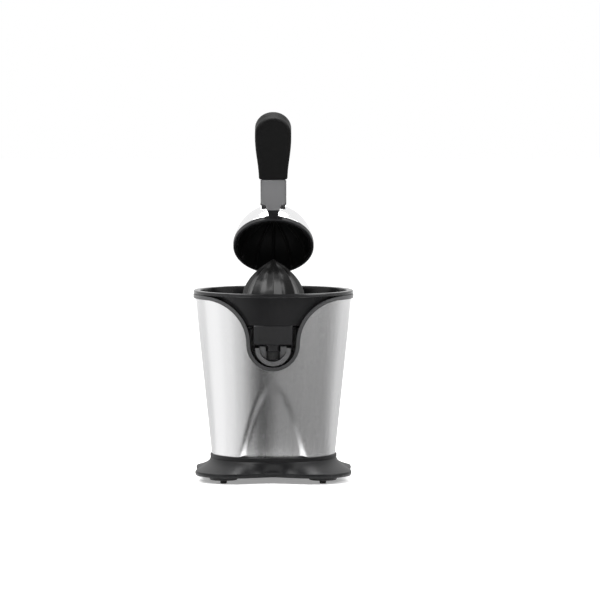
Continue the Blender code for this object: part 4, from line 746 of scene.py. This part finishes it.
@dataclass
class Bowl:
    """The juice bowl with its apron and spout box, the strainer and the tilting spout."""

    body: Body
    lip: float = 97.2 * MM
    wall: float = 2.0 * MM
    floor_z: float = 193.1 * MM
    ledge: float = 72.0 * MM
    tube: float = 16.0 * MM
    tube_top: float = 214.0 * MM
    box_half: float = 24.0 * MM
    box_z: float = 168.5 * MM
    box_back: float = -62.0 * MM
    notch_half: float = 22.8 * MM
    notch_y: float = 65.5 * MM
    outlet_y: float = -77.0 * MM
    spout: float = 21.5 * MM
    spout_z: float = 165.5 * MM
    pin_at: Point = (-68.0 * MM, 163.2 * MM)
    slots: int = 32

    def outer(self, z: float) -> float:
        """Outer radius of the bowl's wall at a height."""
        return self.body.radius(z) - self.body.steel - 3.3 * MM

    def front_edge(self, half: float, back: float) -> list[Point]:
        """The spout box's plan front, parallel to the body, from -half to half."""
        radius = self.body.radius(self.box_z) - back
        swing = asin_degrees(half / radius)
        return arc((0, 0), radius, 270 - swing, 270 + swing, 16)

    def make_bowl(self) -> Object:
        """Models the bowl as a solid, joins the spout box on and then hollows both."""
        top = self.body.rim_top
        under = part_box("top_collar")[1].z + 0.3 * MM
        low = self.floor_z - self.wall
        outline = [
            (0, low),
            (self.outer(low) - 1.5 * MM, low),
            (self.outer(low), low + 1.5 * MM),
            (self.outer(under), under),
            (self.lip - 0.5 * MM, under),
            (self.lip, under + 0.5 * MM),
            (self.lip, top - 1.0 * MM),
            (self.lip - 0.3 * MM, top - 0.3 * MM),
            (self.lip - 1.0 * MM, top),
            (0, top),
        ]
        bowl = Bench.lathe("juice_basin", outline, 192)
        half, back = self.box_half, self.box_back
        front = self.front_edge(half, 1.2 * MM)
        box = Bench.prism(
            "spout_box", [(half, back), (-half, back), *front], self.box_z, self.floor_z - 0.4 * MM
        )
        Bench.round_edges(box, 1.6 * MM, 4)
        Bench.combine(bowl, box, "UNION")
        for side in (-1, 1):
            near, far = sorted((side * (self.spout + 0.3 * MM), side * half))
            y, z = self.pin_at
            lug = [
                (y - 4 * MM, z - 4 * MM),
                (y + 4 * MM, z - 4 * MM),
                (y + 4 * MM, self.box_z + 3 * MM),
                (y - 4 * MM, self.box_z + 3 * MM),
            ]
            lug = Bench.prism("lug", rounded(lug, 3.5 * MM, (0, 1)), near, far, Side.X)
            Bench.combine(bowl, lug, "UNION")
        stub = [
            (0, self.box_z - 8 * MM),
            (8.4 * MM, self.box_z - 8 * MM),
            (9 * MM, self.box_z - 7.4 * MM),
            (9 * MM, self.box_z + 2.5 * MM),
        ]
        Bench.combine(
            bowl, Bench.lathe("stub", [*stub, (0, self.box_z + 2.5 * MM)], 64, (0, self.outlet_y)), "UNION"
        )
        self.hollow(bowl, top)
        return bowl

    def hollow(self, bowl: Object, top: float) -> None:
        """Takes out the bowl's inside, the notch for the hinge's bracket, the box's inside and the outlet.

        Args:
            bowl: the solid bowl.
            top: the height of its rim.
        """
        above = top + 10 * MM
        floor, wall = self.floor_z, self.wall
        basin = [
            (0, self.tube_top),
            (self.tube, self.tube_top),
            (self.tube, floor),
            (self.ledge - 2 * MM, floor),
            (self.ledge - 2 * MM, floor + 6.6 * MM),
            (self.ledge, floor + 6.6 * MM),
            (self.ledge, floor),
            (self.outer(floor) - wall - 2 * MM, floor),
            (self.outer(floor) - wall, floor + 2 * MM),
            (self.outer(top) - wall, top - 0.8 * MM),
            (self.outer(top) - wall + 0.8 * MM, top),
            (self.outer(above) - wall + 4 * MM, above),
            (0, above),
        ]
        inside = Bench.lathe("inside", basin, 192)
        far = self.body.rim + 20 * MM
        half, y = self.notch_half + wall, self.notch_y - wall
        Bench.combine(inside, Bench.block("keep", (-half, y, floor - 9 * MM), (half, far, above + 9 * MM)))
        Bench.combine(bowl, inside)
        half, y = self.notch_half, self.notch_y
        Bench.combine(bowl, Bench.block("notch", (-half, y, floor - 9 * MM), (half, far, above)))
        bore = [
            (0, floor - 9 * MM),
            (self.tube - 2.5 * MM, floor - 9 * MM),
            (self.tube - 2.5 * MM, above),
            (0, above),
        ]
        Bench.combine(bowl, Bench.lathe("bore", bore, 64))
        half, back = self.box_half - wall, self.box_back - wall
        front = self.front_edge(half, 1.2 * MM + wall)
        room = Bench.prism("room", [(half, back), (-half, back), *front], self.box_z + wall, floor + 2 * MM)
        Bench.combine(bowl, room)
        outlet = [
            (0, self.box_z - 12 * MM),
            (7 * MM, self.box_z - 12 * MM),
            (7 * MM, self.box_z + 6 * MM),
            (0, self.box_z + 6 * MM),
        ]
        Bench.combine(bowl, Bench.lathe("outlet", outlet, 64, (0, self.outlet_y)))
        hole = Bench.lathe(
            "pin_hole", [(0, -30 * MM), (1.8 * MM, -30 * MM), (1.8 * MM, 30 * MM), (0, 30 * MM)], 24
        )
        across = Matrix.Translation((0, *self.pin_at)) @ Matrix.Rotation(radians(90), 4, "Y")
        Bench.combine(bowl, Bench.move(hole, across))

    def make_strainer(self) -> Object:
        """Models the slotted dish: one slot is cut and the cut is then turned round the dish."""
        foot = self.floor_z + 6.9 * MM
        rim, wall, edge = self.ledge + 9 * MM, 1.4 * MM, foot + 9 * MM
        low = self.tube + 1.5 * MM
        outline = [
            (low, foot),
            (self.ledge, foot),
            (rim, edge),
            (rim + 2.6 * MM, edge),
            (rim + 3 * MM, edge + 0.4 * MM),
            (rim + 3 * MM, edge + wall - 0.3 * MM),
            (rim + 2.6 * MM, edge + wall),
            (rim - 1 * MM, edge + wall),
            (self.ledge - 0.7 * MM, foot + wall),
            (low + wall, foot + wall),
            (low + wall, foot + 3.8 * MM),
            (low + 0.4 * MM, foot + 4 * MM),
            (low, foot + 3.6 * MM),
        ]
        strainer = Bench.lathe("pulp_strainer", outline, 160)
        half, clear = self.notch_half + self.wall + 0.5 * MM, self.notch_y - self.wall - 0.5 * MM
        Bench.combine(
            strainer,
            Bench.block("clear", (-half, clear, foot - 5 * MM), (half, self.body.rim, edge + 5 * MM)),
        )
        comb = Bench.block("slot", (42.5 * MM, -0.8 * MM, foot - 4 * MM), (60 * MM, 0.8 * MM, foot + 4 * MM))
        turns = []
        for i in range(1, self.slots):
            copied = comb.copy()
            copied.data = comb.data.copy()
            bpy.context.scene.collection.objects.link(copied)
            turns.append(Bench.move(copied, Matrix.Rotation(2 * pi * i / self.slots, 4, "Z")))
        Bench.pick(comb)
        for copied in turns:
            copied.select_set(True)
        bpy.ops.object.join()
        Bench.combine(strainer, comb)
        return strainer

    def make_spout(self) -> Object:
        """Models the half-round trough with its stepped mouth."""
        back = self.pin_at[0] + 6 * MM
        reach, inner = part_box("spout")[0].y, self.spout - 5 * MM
        trough = Bench.prism(
            "pouring_trough", arc((0, self.spout_z), self.spout, 180, 360, 64), reach, back, Side.Y
        )
        hollow = [
            (-inner, self.spout_z + 5 * MM),
            *arc((0, self.spout_z), inner, 180, 360, 48),
            (inner, self.spout_z + 5 * MM),
        ]
        Bench.combine(trough, Bench.prism("hollow", hollow, reach - 5 * MM, back - 2.5 * MM, Side.Y))
        wide = inner + 2.2 * MM
        step = [
            (-wide, self.spout_z + 5 * MM),
            *arc((0, self.spout_z), wide, 180, 360, 48),
            (wide, self.spout_z + 5 * MM),
        ]
        Bench.combine(trough, Bench.prism("step", step, reach - 5 * MM, reach + 3.5 * MM, Side.Y))
        hole = Bench.lathe(
            "pin_hole", [(0, -30 * MM), (1.8 * MM, -30 * MM), (1.8 * MM, 30 * MM), (0, 30 * MM)], 24
        )
        across = Matrix.Translation((0, *self.pin_at)) @ Matrix.Rotation(radians(90), 4, "Y")
        Bench.combine(trough, Bench.move(hole, across))
        Bench.round_edges(trough, 0.5 * MM, 3, 50)
        return trough

    def build(self) -> None:
        """Models and dresses the bowl's pieces."""
        dress(self.make_bowl(), SMOKE_PLASTIC, "housing", "juice_bowl")
        dress(self.make_strainer(), REAMER_PLASTIC, "housing", "strainer")
        dress(self.make_spout(), SPOUT_METAL, "spout", "spout")


def asin_degrees(share: float) -> float:
    """The angle in degrees whose sine is given."""
    return 90 - acos(share) * 180 / pi


@dataclass
class Reamer:
    """The ribbed reamer."""

    radius: float = 39.5 * MM
    height: float = 63.0 * MM
    foot_z: float = 205.0 * MM
    flute: float = 4.4 * MM
    ribs: int = 8
    wall: float = 2.6 * MM
    hub: float = 9.0 * MM
    rows: int = 48

    def profile(self, z: float) -> float:
        """Radius over the ribs at a height."""
        share = min(max((z - self.foot_z) / self.height, 0.0), 1.0)
        return self.radius * (1 - share**2.8)

    def ribbed(self, point: Vector) -> Vector:
        """Pulls a point of the outside in between the ribs."""
        radius = hypot(point.x, point.y)
        over = self.profile(point.z)
        if radius < over - 0.02 * MM or radius < 0.5 * MM:
            return point
        turn = abs((self.ribs * (atan2(point.y, point.x) + pi / 2) / (2 * pi) + 0.5) % 1 - 0.5) * 2
        valley = 1 - (1 - min(turn / 0.86, 1.0)) ** 1.5
        crest = min(turn / 0.10, 1.0)
        depth = min(self.flute, 0.30 * over) * valley * (0.35 + 0.65 * crest)
        near_foot = min((point.z - self.foot_z) / (1.2 * MM), 1.0)
        keep = 1 - depth * (0.55 + 0.45 * near_foot) / radius
        return Vector((point.x * keep, point.y * keep, point.z))

    def build(self) -> None:
        """Models the reamer: a turned shell with a round hub, its outside then pulled in to ribs."""
        top = 247.0 * MM
        outline = [
            (0, 241.0 * MM),
            (5.2 * MM, 241.0 * MM),
            (5.2 * MM, 209.5 * MM),
            (self.hub, 209.5 * MM),
            (self.hub, top),
        ]
        outline += [
            (16.0 * MM, top), (28.0 * MM, 232.0 * MM), (self.radius - self.flute - self.wall, self.foot_z)
        ]
        for i in range(self.rows):
            z = self.foot_z + self.height * i / self.rows
            outline.append((self.profile(z), z))
        outline.append((0, self.foot_z + self.height))
        cone = Bench.lathe("ribbed_reamer", outline, 384)
        Bench.reshape(cone, self.ribbed)
        dress(cone, REAMER_PLASTIC, "reamer", "reamer_cone")


# ---------------------------------------------------------------- press arm


@dataclass
class PressArm:
    """The swinging arm: casting, dome and press cup, neck and grip. It is modelled closed."""

    hinge: Point = (80.0 * MM, 234.0 * MM)
    opened: float = radians(45)
    slope: float = radians(20)
    radius: float = 49.2 * MM
    height: float = 54.0 * MM
    plane_z: float = 222.0 * MM
    ring: float = 6.0 * MM
    neck_half: float = 16.1 * MM
    neck_from: float = 21.0 * MM
    grip_from: float = 55.2 * MM
    grip_to: float = 138.6 * MM
    grip_thin: float = 17.4 * MM
    grip_wide: float = 21.9 * MM
    grip_low: float = -3.0 * MM
    grip_high: float = 17.0 * MM
    ribs: int = 12
    swing: Matrix = field(init=False)
    along: Matrix = field(init=False)

    def __post_init__(self) -> None:
        """Works out how the arm opens and how the handle leans."""
        pin = Vector((0, *self.hinge))
        turn = Matrix.Rotation(-self.opened, 4, "X")
        self.swing = Matrix.Translation(pin) @ turn @ Matrix.Translation(-pin)
        foot = Matrix.Translation((0, -self.radius, self.plane_z))
        self.along = self.swing @ foot @ Matrix.Rotation(-self.slope, 4, "X")

    def side_view(self, name: str, outline: list[Point], half: float) -> Object:
        """A prism across X from points (distance along the handle, height over its underside)."""
        return Bench.prism(name, [(-s, w) for s, w in outline], -half, half, Side.X)

    def curve(self, radius: float, height: float, low: float, steps: int) -> list[Point]:
        """Half an upright ellipse from a height over the press plane up to the axis.

        Args:
            radius: its radius at the plane.
            height: its height over the plane.
            low: where it starts over the plane.
            steps: how many parts it has.

        Returns:
            (radius, z) points that end on the axis.
        """
        start = acos(sqrt(1 - (low / height) ** 2))
        angles = [start + (pi / 2 - start) * i / steps for i in range(steps)]
        return [(radius * cos(a), self.plane_z + height * sin(a)) for a in angles] + [
            (0, self.plane_z + height)
        ]

    def make_dome(self) -> Object:
        """Models the polished dome."""
        low = self.ring + 0.3 * MM
        outer = self.curve(self.radius, self.height, low, 32)
        inner = self.curve(self.radius - 1.2 * MM, self.height - 1.2 * MM, low, 32)
        dome = Bench.lathe("polished_dome", [*reversed(inner), *outer], 192)
        Bench.round_edges(dome, 0.3 * MM, 2, 60)
        return dome

    def make_cup(self) -> Object:
        """Models the press cup, with ribs that run up its inside to the middle."""
        radius, height = self.radius - 3.3 * MM, self.height - 2.2 * MM
        outer = [(radius, self.plane_z + 0.4 * MM), *self.curve(radius, height, self.ring + 0.3 * MM, 28)]
        wall = 1.5 * MM
        inner = self.curve(radius - wall, height - wall, 0.4 * MM, 40)
        cup = Bench.lathe("press_cup_ribbed", [*reversed(inner), *outer], 288)

        def rib(point: Vector) -> Vector:
            """Raises the inside along each rib."""
            across, up = hypot(point.x, point.y), point.z - self.plane_z
            share = hypot(across / (radius - wall), up / (height - wall))
            if share > 1.008 or across < 3 * MM or up < 0.5 * MM:
                return point
            turn = (self.ribs * atan2(point.y, point.x) / (2 * pi) + 0.5) % 1 - 0.5
            bow = max(1 - (turn * across * 2 * pi / self.ribs / (1.5 * MM)) ** 2, 0.0)
            keep = 1 - 2.2 * MM * bow / hypot(across, up) * min((up - 0.4 * MM) / (3 * MM), 1.0)
            return Vector((point.x * keep, point.y * keep, self.plane_z + up * keep))

        Bench.reshape(cup, rib)
        return cup

    def make_casting(self) -> Object:
        """Models the casting: ring, rear arm, barrel, web and tang, joined in one."""
        r, p = self.radius, self.plane_z
        y, z = self.hinge
        low_z = self.plane_z + 10.3 * MM
        top = p + self.ring
        edge = [
            (r - 2.4 * MM, p),
            (r - 0.8 * MM, p),
            (r, p + 0.8 * MM),
            (r, top - 0.3 * MM),
            (r - 0.3 * MM, top),
            (r - 3 * MM, top),
        ]
        edge += [(r - 3 * MM, p + 0.6 * MM)]
        casting = Bench.lathe("arm_casting", edge, 192)
        rear = [
            (r - 1.6 * MM, p + 0.6 * MM),
            (r + 3.5 * MM, p + 0.6 * MM),
            (y - 19 * MM, low_z),
            (y - 4 * MM, low_z),
            (y + 3 * MM, z - 3.7 * MM),
            (y + 12.5 * MM, z - 3.5 * MM),
            (y + 12.5 * MM, z + 2 * MM),
            (y + 3 * MM, z + 2.2 * MM),
            (y - 3 * MM, z + 5.8 * MM),
            (r + 6 * MM, z + 5.8 * MM),
            (r + 0.7 * MM, top + 3 * MM),
            (r + 0.7 * MM, top - 0.6 * MM),
            (r - 1.6 * MM, top - 0.6 * MM),
        ]
        arm = Bench.prism("rear_arm", rounded(rear, 2 * MM, (2, 5, 6, 9, 10)), -6 * MM, 6 * MM, Side.X)
        Bench.round_edges(arm, 0.8 * MM, 3)
        Bench.combine(casting, arm, "UNION")
        barrel = [
            (0, -7.5 * MM),
            (6.6 * MM, -7.5 * MM),
            (7 * MM, -7.1 * MM),
            (7 * MM, 7.1 * MM),
            (6.6 * MM, 7.5 * MM),
            (0, 7.5 * MM),
        ]
        across = Matrix.Translation((0, y, z)) @ Matrix.Rotation(radians(90), 4, "Y")
        Bench.combine(casting, Bench.move(Bench.lathe("barrel", barrel, 64), across), "UNION")
        bore = [(0, -30 * MM), (3.3 * MM, -30 * MM), (3.3 * MM, 30 * MM), (0, 30 * MM)]
        Bench.combine(casting, Bench.move(Bench.lathe("bore", bore, 48), across))
        Bench.move(casting, self.swing)
        web = [(-1.5, 1.0), (12.3, 0.4), (12.3, 10.8), (8.0, 10.8), (3.2, 6.0), (1.0, 5.0), (-1.2, 4.0)]
        web = self.side_view("web", [(s * MM, w * MM) for s, w in web], 7.7 * MM)
        Bench.reshape(web, lambda v: Vector((v.x * (5.0 * MM - 0.2 * v.y) / (7.7 * MM), v.y, v.z)))
        Bench.round_edges(web, 0.7 * MM, 3, 30)
        Bench.combine(casting, Bench.move(web, self.along), "UNION")
        end = self.grip_to - 10 * MM
        tang = [(10 * MM, 2.6 * MM), (end, 2.6 * MM), (end, 11.3 * MM), (10 * MM, 11.3 * MM)]
        Bench.combine(casting, Bench.move(self.side_view("tang", tang, 6 * MM), self.along), "UNION")
        self.drill(casting, (self.neck_from + self.grip_from) / 2, 3.3 * MM, -3 * MM, 5.2 * MM)
        self.drill(casting, (self.neck_from + self.grip_from) / 2, 1.9 * MM, 0, 18 * MM)
        self.drill(casting, (self.grip_from + end) / 2, 1.9 * MM, 0, 18 * MM)
        return casting

    def drill(self, piece: Object, s: float, radius: float, low: float, high: float) -> None:
        """Bores a hole square to the handle.

        Args:
            piece: what is bored, in its opened place.
            s: how far along the handle.
            radius: the hole's radius.
            low: where it starts over the handle's underside.
            high: where it ends.
        """
        hole = Bench.lathe("hole", [(0, low), (radius, low), (radius, high), (0, high)], 24, (0, -s))
        Bench.combine(piece, Bench.move(hole, self.along))

    def make_neck(self) -> Object:
        """Models the neck's folded steel channel."""
        end = self.grip_from - 0.6 * MM
        side = [(self.neck_from, 0), (end, 0), (end, 13 * MM), (7 * MM, 13 * MM)]
        neck = self.side_view("neck_channel", rounded(side, 3 * MM, (0,)), self.neck_half)
        Bench.round_edges(neck, 1.2 * MM, 4)
        room = [(-9 * MM, -5 * MM), (end + 9 * MM, -5 * MM), (end + 9 * MM, 11.6 * MM), (-9 * MM, 11.6 * MM)]
        Bench.combine(neck, self.side_view("room", room, self.neck_half - 1.4 * MM))
        Bench.move(neck, self.along)
        self.drill(neck, (self.neck_from + self.grip_from) / 2, 1.9 * MM, 9 * MM, 18 * MM)
        return neck

    def plan(self, name: str, outline: list[Point], low: float, high: float) -> Object:
        """A plate drawn from (distance along, half width) points and mirrored."""
        points = [(x, -s) for s, x in outline] + [(-x, -s) for s, x in reversed(outline)]
        return Bench.prism(name, points, low, high)

    def make_panel(self) -> Object:
        """Models the panel under the neck, with a raised field."""
        wide = self.neck_half - 1.7 * MM
        start, end = self.neck_from, self.grip_from - 1.2 * MM
        outline = [(12.7 * MM, 7.7 * MM), (20 * MM, 9.6 * MM), (start + 0.5 * MM, wide), (end, wide)]
        panel = self.plan("neck_panel", outline, 0.4 * MM, 2.3 * MM)
        Bench.pick(panel)
        bpy.ops.object.mode_set(mode="EDIT")
        bpy.ops.mesh.select_all(action="DESELECT")
        bpy.ops.object.mode_set(mode="OBJECT")
        for face in panel.data.polygons:
            face.select = face.normal.z < -0.9
        bpy.ops.object.mode_set(mode="EDIT")
        bpy.ops.mesh.inset(thickness=1.6 * MM, depth=0)
        bpy.ops.mesh.inset(thickness=0.5 * MM, depth=-0.35 * MM)
        Bench.close(panel, 30)
        return Bench.move(panel, self.along)

    def make_grip(self) -> tuple[Object, Object]:
        """Models the paddle whole, rounds it and parts it into its two halves.

        Returns:
            The lower and the upper half.
        """
        end, thin, wide = self.grip_to - self.grip_wide, self.grip_thin, self.grip_wide
        outline = []
        for i in range(21):
            t = i / 20
            outline.append(
                (
                    self.grip_from + (end - 6 * MM - self.grip_from) * t,
                    thin + (wide - thin) * (3 * t**2 - 2 * t**3),
                )
            )
        outline += [(end + wide * sin(radians(a)), wide * cos(radians(a))) for a in range(0, 90, 6)]
        grip = self.plan("grip", outline, self.grip_low, self.grip_high)
        Bench.round_edges(grip, 5.5 * MM, 8, 50)
        pocket_end = self.grip_to - 9.7 * MM
        pocket = [
            (self.grip_from - 5 * MM, 2.3 * MM),
            (pocket_end, 2.3 * MM),
            (pocket_end, 11.6 * MM),
            (self.grip_from - 5 * MM, 11.6 * MM),
        ]
        Bench.combine(grip, self.side_view("pocket", pocket, 6.3 * MM))
        middle = (self.grip_high + self.grip_low) / 2
        halves = []
        for name, low, high in (
            ("grip_under", -20 * MM, middle - 0.15 * MM), ("grip_over", middle + 0.15 * MM, 40 * MM)
        ):
            half = grip.copy()
            half.data = grip.data.copy()
            half.name = name
            bpy.context.scene.collection.objects.link(half)
            keep = Bench.block("keep", (-40 * MM, -200 * MM, low), (40 * MM, 0, high))
            Bench.combine(half, keep, "INTERSECT")
            halves.append(Bench.move(half, self.along))
        bpy.data.objects.remove(grip)
        place = (self.grip_from + self.grip_to - 10 * MM) / 2
        for half in halves:
            self.drill(half, place, 1.9 * MM, 0, 30 * MM)
        self.drill(halves[1], place, 3.3 * MM, 13.4 * MM, 30 * MM)
        return halves[0], halves[1]

    def build(self) -> None:
        """Models and dresses the arm's pieces."""
        dress(Bench.move(self.make_dome(), self.swing), POLISHED_STEEL, "arm", "dome_shell")
        dress(Bench.move(self.make_cup(), self.swing), CUP_PLASTIC, "arm", "press_cup")
        dress(self.make_casting(), CASTING, "arm", "arm_frame")
        dress(self.make_neck(), POLISHED_STEEL, "arm", "neck_shell")
        dress(self.make_panel(), GREY_PLASTIC, "arm", "neck_insert")
        under, over = self.make_grip()
        dress(under, SOFT_GRIP, "arm", "grip_lower")
        dress(over, SOFT_GRIP, "arm", "grip_upper")


# ---------------------------------------------------------------- stage


@dataclass
class Drive:
    """The hidden coil that lifts the reamer's shaft. The real coil shortens as the shaft is pressed; this
    copy keeps one length.
    """

    low_z: float = 118.8 * MM
    high_z: float = 131.6 * MM

    def build(self) -> None:
        """Copies the coil from the frame, gives it spring steel and hides the frame's own coil."""
        coil = Bench.copy_node("return_spring", "shaft_return_coil")
        coil.data.materials.append(SPRING_STEEL.material())
        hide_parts("return_spring")
        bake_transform(coil)
        LOG.info("%s: %d faces", coil.name, len(coil.data.polygons))


@dataclass
class Studio:
    """Pale floor, soft light, reflection cards and camera.

    Distance, rise and view are how far off, how high and how wide the camera looks, and aside and
    centre_z are where it aims. Each card is its two edges, in degrees round from the front towards
    the right, and how light it is.
    """

    distance: float = 6.0
    rise: float = radians(3.5)
    view: float = 0.732
    aside: float = 32.4 * MM
    centre_z: float = 218.0 * MM
    cards: tuple[tuple[float, float, float], ...] = (
        (-178, -120, 0.74),
        (-120, -84, 1.05),
        (-84, -62, 0.88),
        (-62, -46, 0.62),
        (-46, -36, 0.38),
        (-36, -26, 0.19),
        (-26, -7, 0.05),
        (-7, 4, 0.15),
        (4, 98, 0.235),
        (98, 114, 0.40),
        (114, 178, 0.68),
    )

    def light(
        self, name: str, place: Point, aim: Point, size: float, power: float, shape: float = 1.0
    ) -> None:
        """Adds a soft lamp.

        Args:
            name: the lamp's name.
            place: where it stands.
            aim: what it points at.
            size: how wide it is.
            power: its watts.
            shape: its height over its width.
        """
        lamp = bpy.data.lights.new(name, "AREA")
        lamp.shape, lamp.size, lamp.size_y, lamp.energy = "RECTANGLE", size, size * shape, power
        made = bpy.data.objects.new(name, lamp)
        bpy.context.scene.collection.objects.link(made)
        made.location = place
        made.rotation_euler = (Vector(aim) - Vector(place)).to_track_quat("-Z", "Y").to_euler()

    def make_floor(self) -> None:
        """Lays a wide pale floor, with a faint glow that keeps its far end as pale as the near one."""
        floor = Bench.block("floor", (-12.0, -12.0, -0.02), (12.0, 12.0, 0.0))
        pale = Finish(
            "pale floor", (0.93, 0.93, 0.93), 0.8, shade=0.0, spread=0.0, depth=0.0, bump=0.0, specular=0.0
        )
        paint = pale.material()
        surface = paint.node_tree.nodes["Principled BSDF"]
        surface.inputs["Emission Color"].default_value = (1, 1, 1, 1)
        surface.inputs["Emission Strength"].default_value = 0.3
        floor.data.materials.append(paint)

    def make_card(
        self, name: str, start: float, end: float, level: float, near: float = 0.14, far: float = 2.4
    ) -> None:
        """Lays a grey card on the floor in front, which shows only in what the object mirrors.

        Args:
            name: the card's name.
            start: its first edge, degrees round from the front towards the right.
            end: its other edge.
            level: how light it is.
            near: how far it starts from the object's axis.
            far: how far it reaches.
        """
        turns = (start - 90, end - 90)
        outline = [*arc((0, 0), near, *turns, 8), *arc((0, 0), far, *reversed(turns), 8)]
        card = Bench.prism(name, outline, 1.0 * MM, 2.0 * MM)
        grey = bpy.data.materials.new(name)
        grey.use_nodes = True
        nodes = grey.node_tree.nodes
        nodes.clear()
        glow, leave = nodes.new("ShaderNodeEmission"), nodes.new("ShaderNodeOutputMaterial")
        glow.inputs["Color"].default_value = (level, level, level, 1)
        grey.node_tree.links.new(glow.outputs["Emission"], leave.inputs["Surface"])
        card.data.materials.append(grey)
        card.visible_camera = card.visible_diffuse = card.visible_shadow = card.visible_transmission = False

    def make_sky(self) -> None:
        """Sets a pale surround that is darker ahead of the object, where the camera stands."""
        world = bpy.context.scene.world or bpy.data.worlds.new("studio")
        bpy.context.scene.world = world
        world.use_nodes = True
        nodes, link = world.node_tree.nodes, world.node_tree.links.new
        nodes.clear()
        leave, sky = nodes.new("ShaderNodeOutputWorld"), nodes.new("ShaderNodeBackground")
        place, turn = nodes.new("ShaderNodeTexCoord"), nodes.new("ShaderNodeSeparateXYZ")
        angle = nodes.new("ShaderNodeMath")
        angle.operation = "ARCTAN2"
        link(place.outputs["Generated"], turn.inputs["Vector"])
        flip = nodes.new("ShaderNodeMath")
        flip.operation = "MULTIPLY"
        flip.inputs[1].default_value = -1.0
        link(turn.outputs["Y"], flip.inputs[0])
        link(turn.outputs["X"], angle.inputs[0])
        link(flip.outputs["Value"], angle.inputs[1])
        share = nodes.new("ShaderNodeMapRange")
        share.inputs["From Min"].default_value = -pi
        share.inputs["From Max"].default_value = pi
        link(angle.outputs["Value"], share.inputs["Value"])
        ramp = nodes.new("ShaderNodeValToRGB")
        stops = (
            (0.0, 0.95), (0.30, 1.0), (0.385, 0.95), (0.425, 0.30), (0.47, 0.13), (0.50, 0.22), (0.56, 0.30)
        )
        stops += ((0.60, 0.45), (0.615, 0.75), (0.66, 0.60), (0.72, 0.95), (1.0, 0.95))
        bands = ramp.color_ramp.elements
        bands[0].position, bands[0].color = stops[0][0], (stops[0][1],) * 3 + (1,)
        bands[1].position, bands[1].color = stops[-1][0], (stops[-1][1],) * 3 + (1,)
        for position, level in stops[1:-1]:
            bands.new(position).color = (level, level, level, 1)
        link(share.outputs["Result"], ramp.inputs["Fac"])
        link(ramp.outputs["Color"], sky.inputs["Color"])
        plain, ray, mix = nodes.new("ShaderNodeBackground"), nodes.new("ShaderNodeLightPath"), nodes.new(
            "ShaderNodeMixShader"
        )
        plain.inputs["Color"].default_value = (1, 1, 1, 1)
        link(ray.outputs["Is Camera Ray"], mix.inputs["Fac"])
        link(sky.outputs["Background"], mix.inputs[1])
        link(plain.outputs["Background"], mix.inputs[2])
        link(mix.outputs["Shader"], leave.inputs["Surface"])

    def make_camera(self) -> None:
        """Stands the camera in front, a little above the object, with a long lens."""
        lens = bpy.data.cameras.new("camera")
        camera = bpy.data.objects.new("camera", lens)
        bpy.context.scene.collection.objects.link(camera)
        lens.sensor_width = 36
        lens.lens = 36 * self.distance / self.view
        lens.clip_end = 100
        aim = Vector((self.aside, 0, self.centre_z))
        camera.location = aim + Vector((0, -cos(self.rise), sin(self.rise))) * self.distance
        camera.rotation_euler = (aim - camera.location).to_track_quat("-Z", "Y").to_euler()
        bpy.context.scene.camera = camera

    def build(self) -> None:
        """Sets the stage."""
        bpy.context.scene.view_settings.view_transform = "Standard"
        self.make_floor()
        self.make_sky()
        for number, (start, end, level) in enumerate(self.cards):
            self.make_card(f"card {number}", start, end, level)
        self.light("key", (-1.6, -1.2, 2.2), (0, 0, 0.2), 1.6, 60, 1.0)
        self.light("fill", (1.9, -0.8, 1.6), (0, 0, 0.2), 1.4, 40, 1.2)
        self.light("top", (0, 0.3, 2.6), (0, 0, 0), 2.0, 60)
        self.make_camera()


def main() -> None:
    """Builds every sub-assembly round the frame."""
    logging.basicConfig(level=logging.INFO, format="%(name)s: %(message)s")
    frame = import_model()
    body = Body()
    for assembly in (Base(), body, Bowl(body), Reamer(), PressArm(), Drive(), Studio()):
        assembly.build()
        LOG.info("%s is built", type(assembly).__name__)
    refinish(
        frame,
        {
            BLACK_PLASTIC: ("bottom_cover", "inner_housing", "microswitch_body"),
            GREY_PLASTIC: (
                "gearbox_housing", "gearbox_lid", "motor_cap_lower", "motor_cap_upper", "cooling_fan"
            ),
            WHITE_PLASTIC: ("output_gear", "intermediate_gear", "thrust_cup", "switch_button"),
            RUBBER: ("cord_gland", "spout_seal", "shaft_seal"),
            BRONZE: ("upper_bush", "lower_bush"),
            COPPER: ("armature", "stator_core"),
            SPRING_STEEL: ("torsion_spring",),
            CASTING: ("hinge_bracket",),
            PLAIN_STEEL: (
                *(f"base_screw_{i}" for i in range(1, 5)),
                *(f"gearbox_screw_{i}" for i in range(1, 4)),
                *("bracket_screw_left", "bracket_screw_right", "hinge_pin", "neck_screw", "grip_screw"),
                *("spout_pin_left", "spout_pin_right", "drive_shaft", "intermediate_axle", "motor_shaft"),
                *("motor_can", "thrust_bracket"),
            ),
        },
    )


if __name__ == "__main__":
    main()
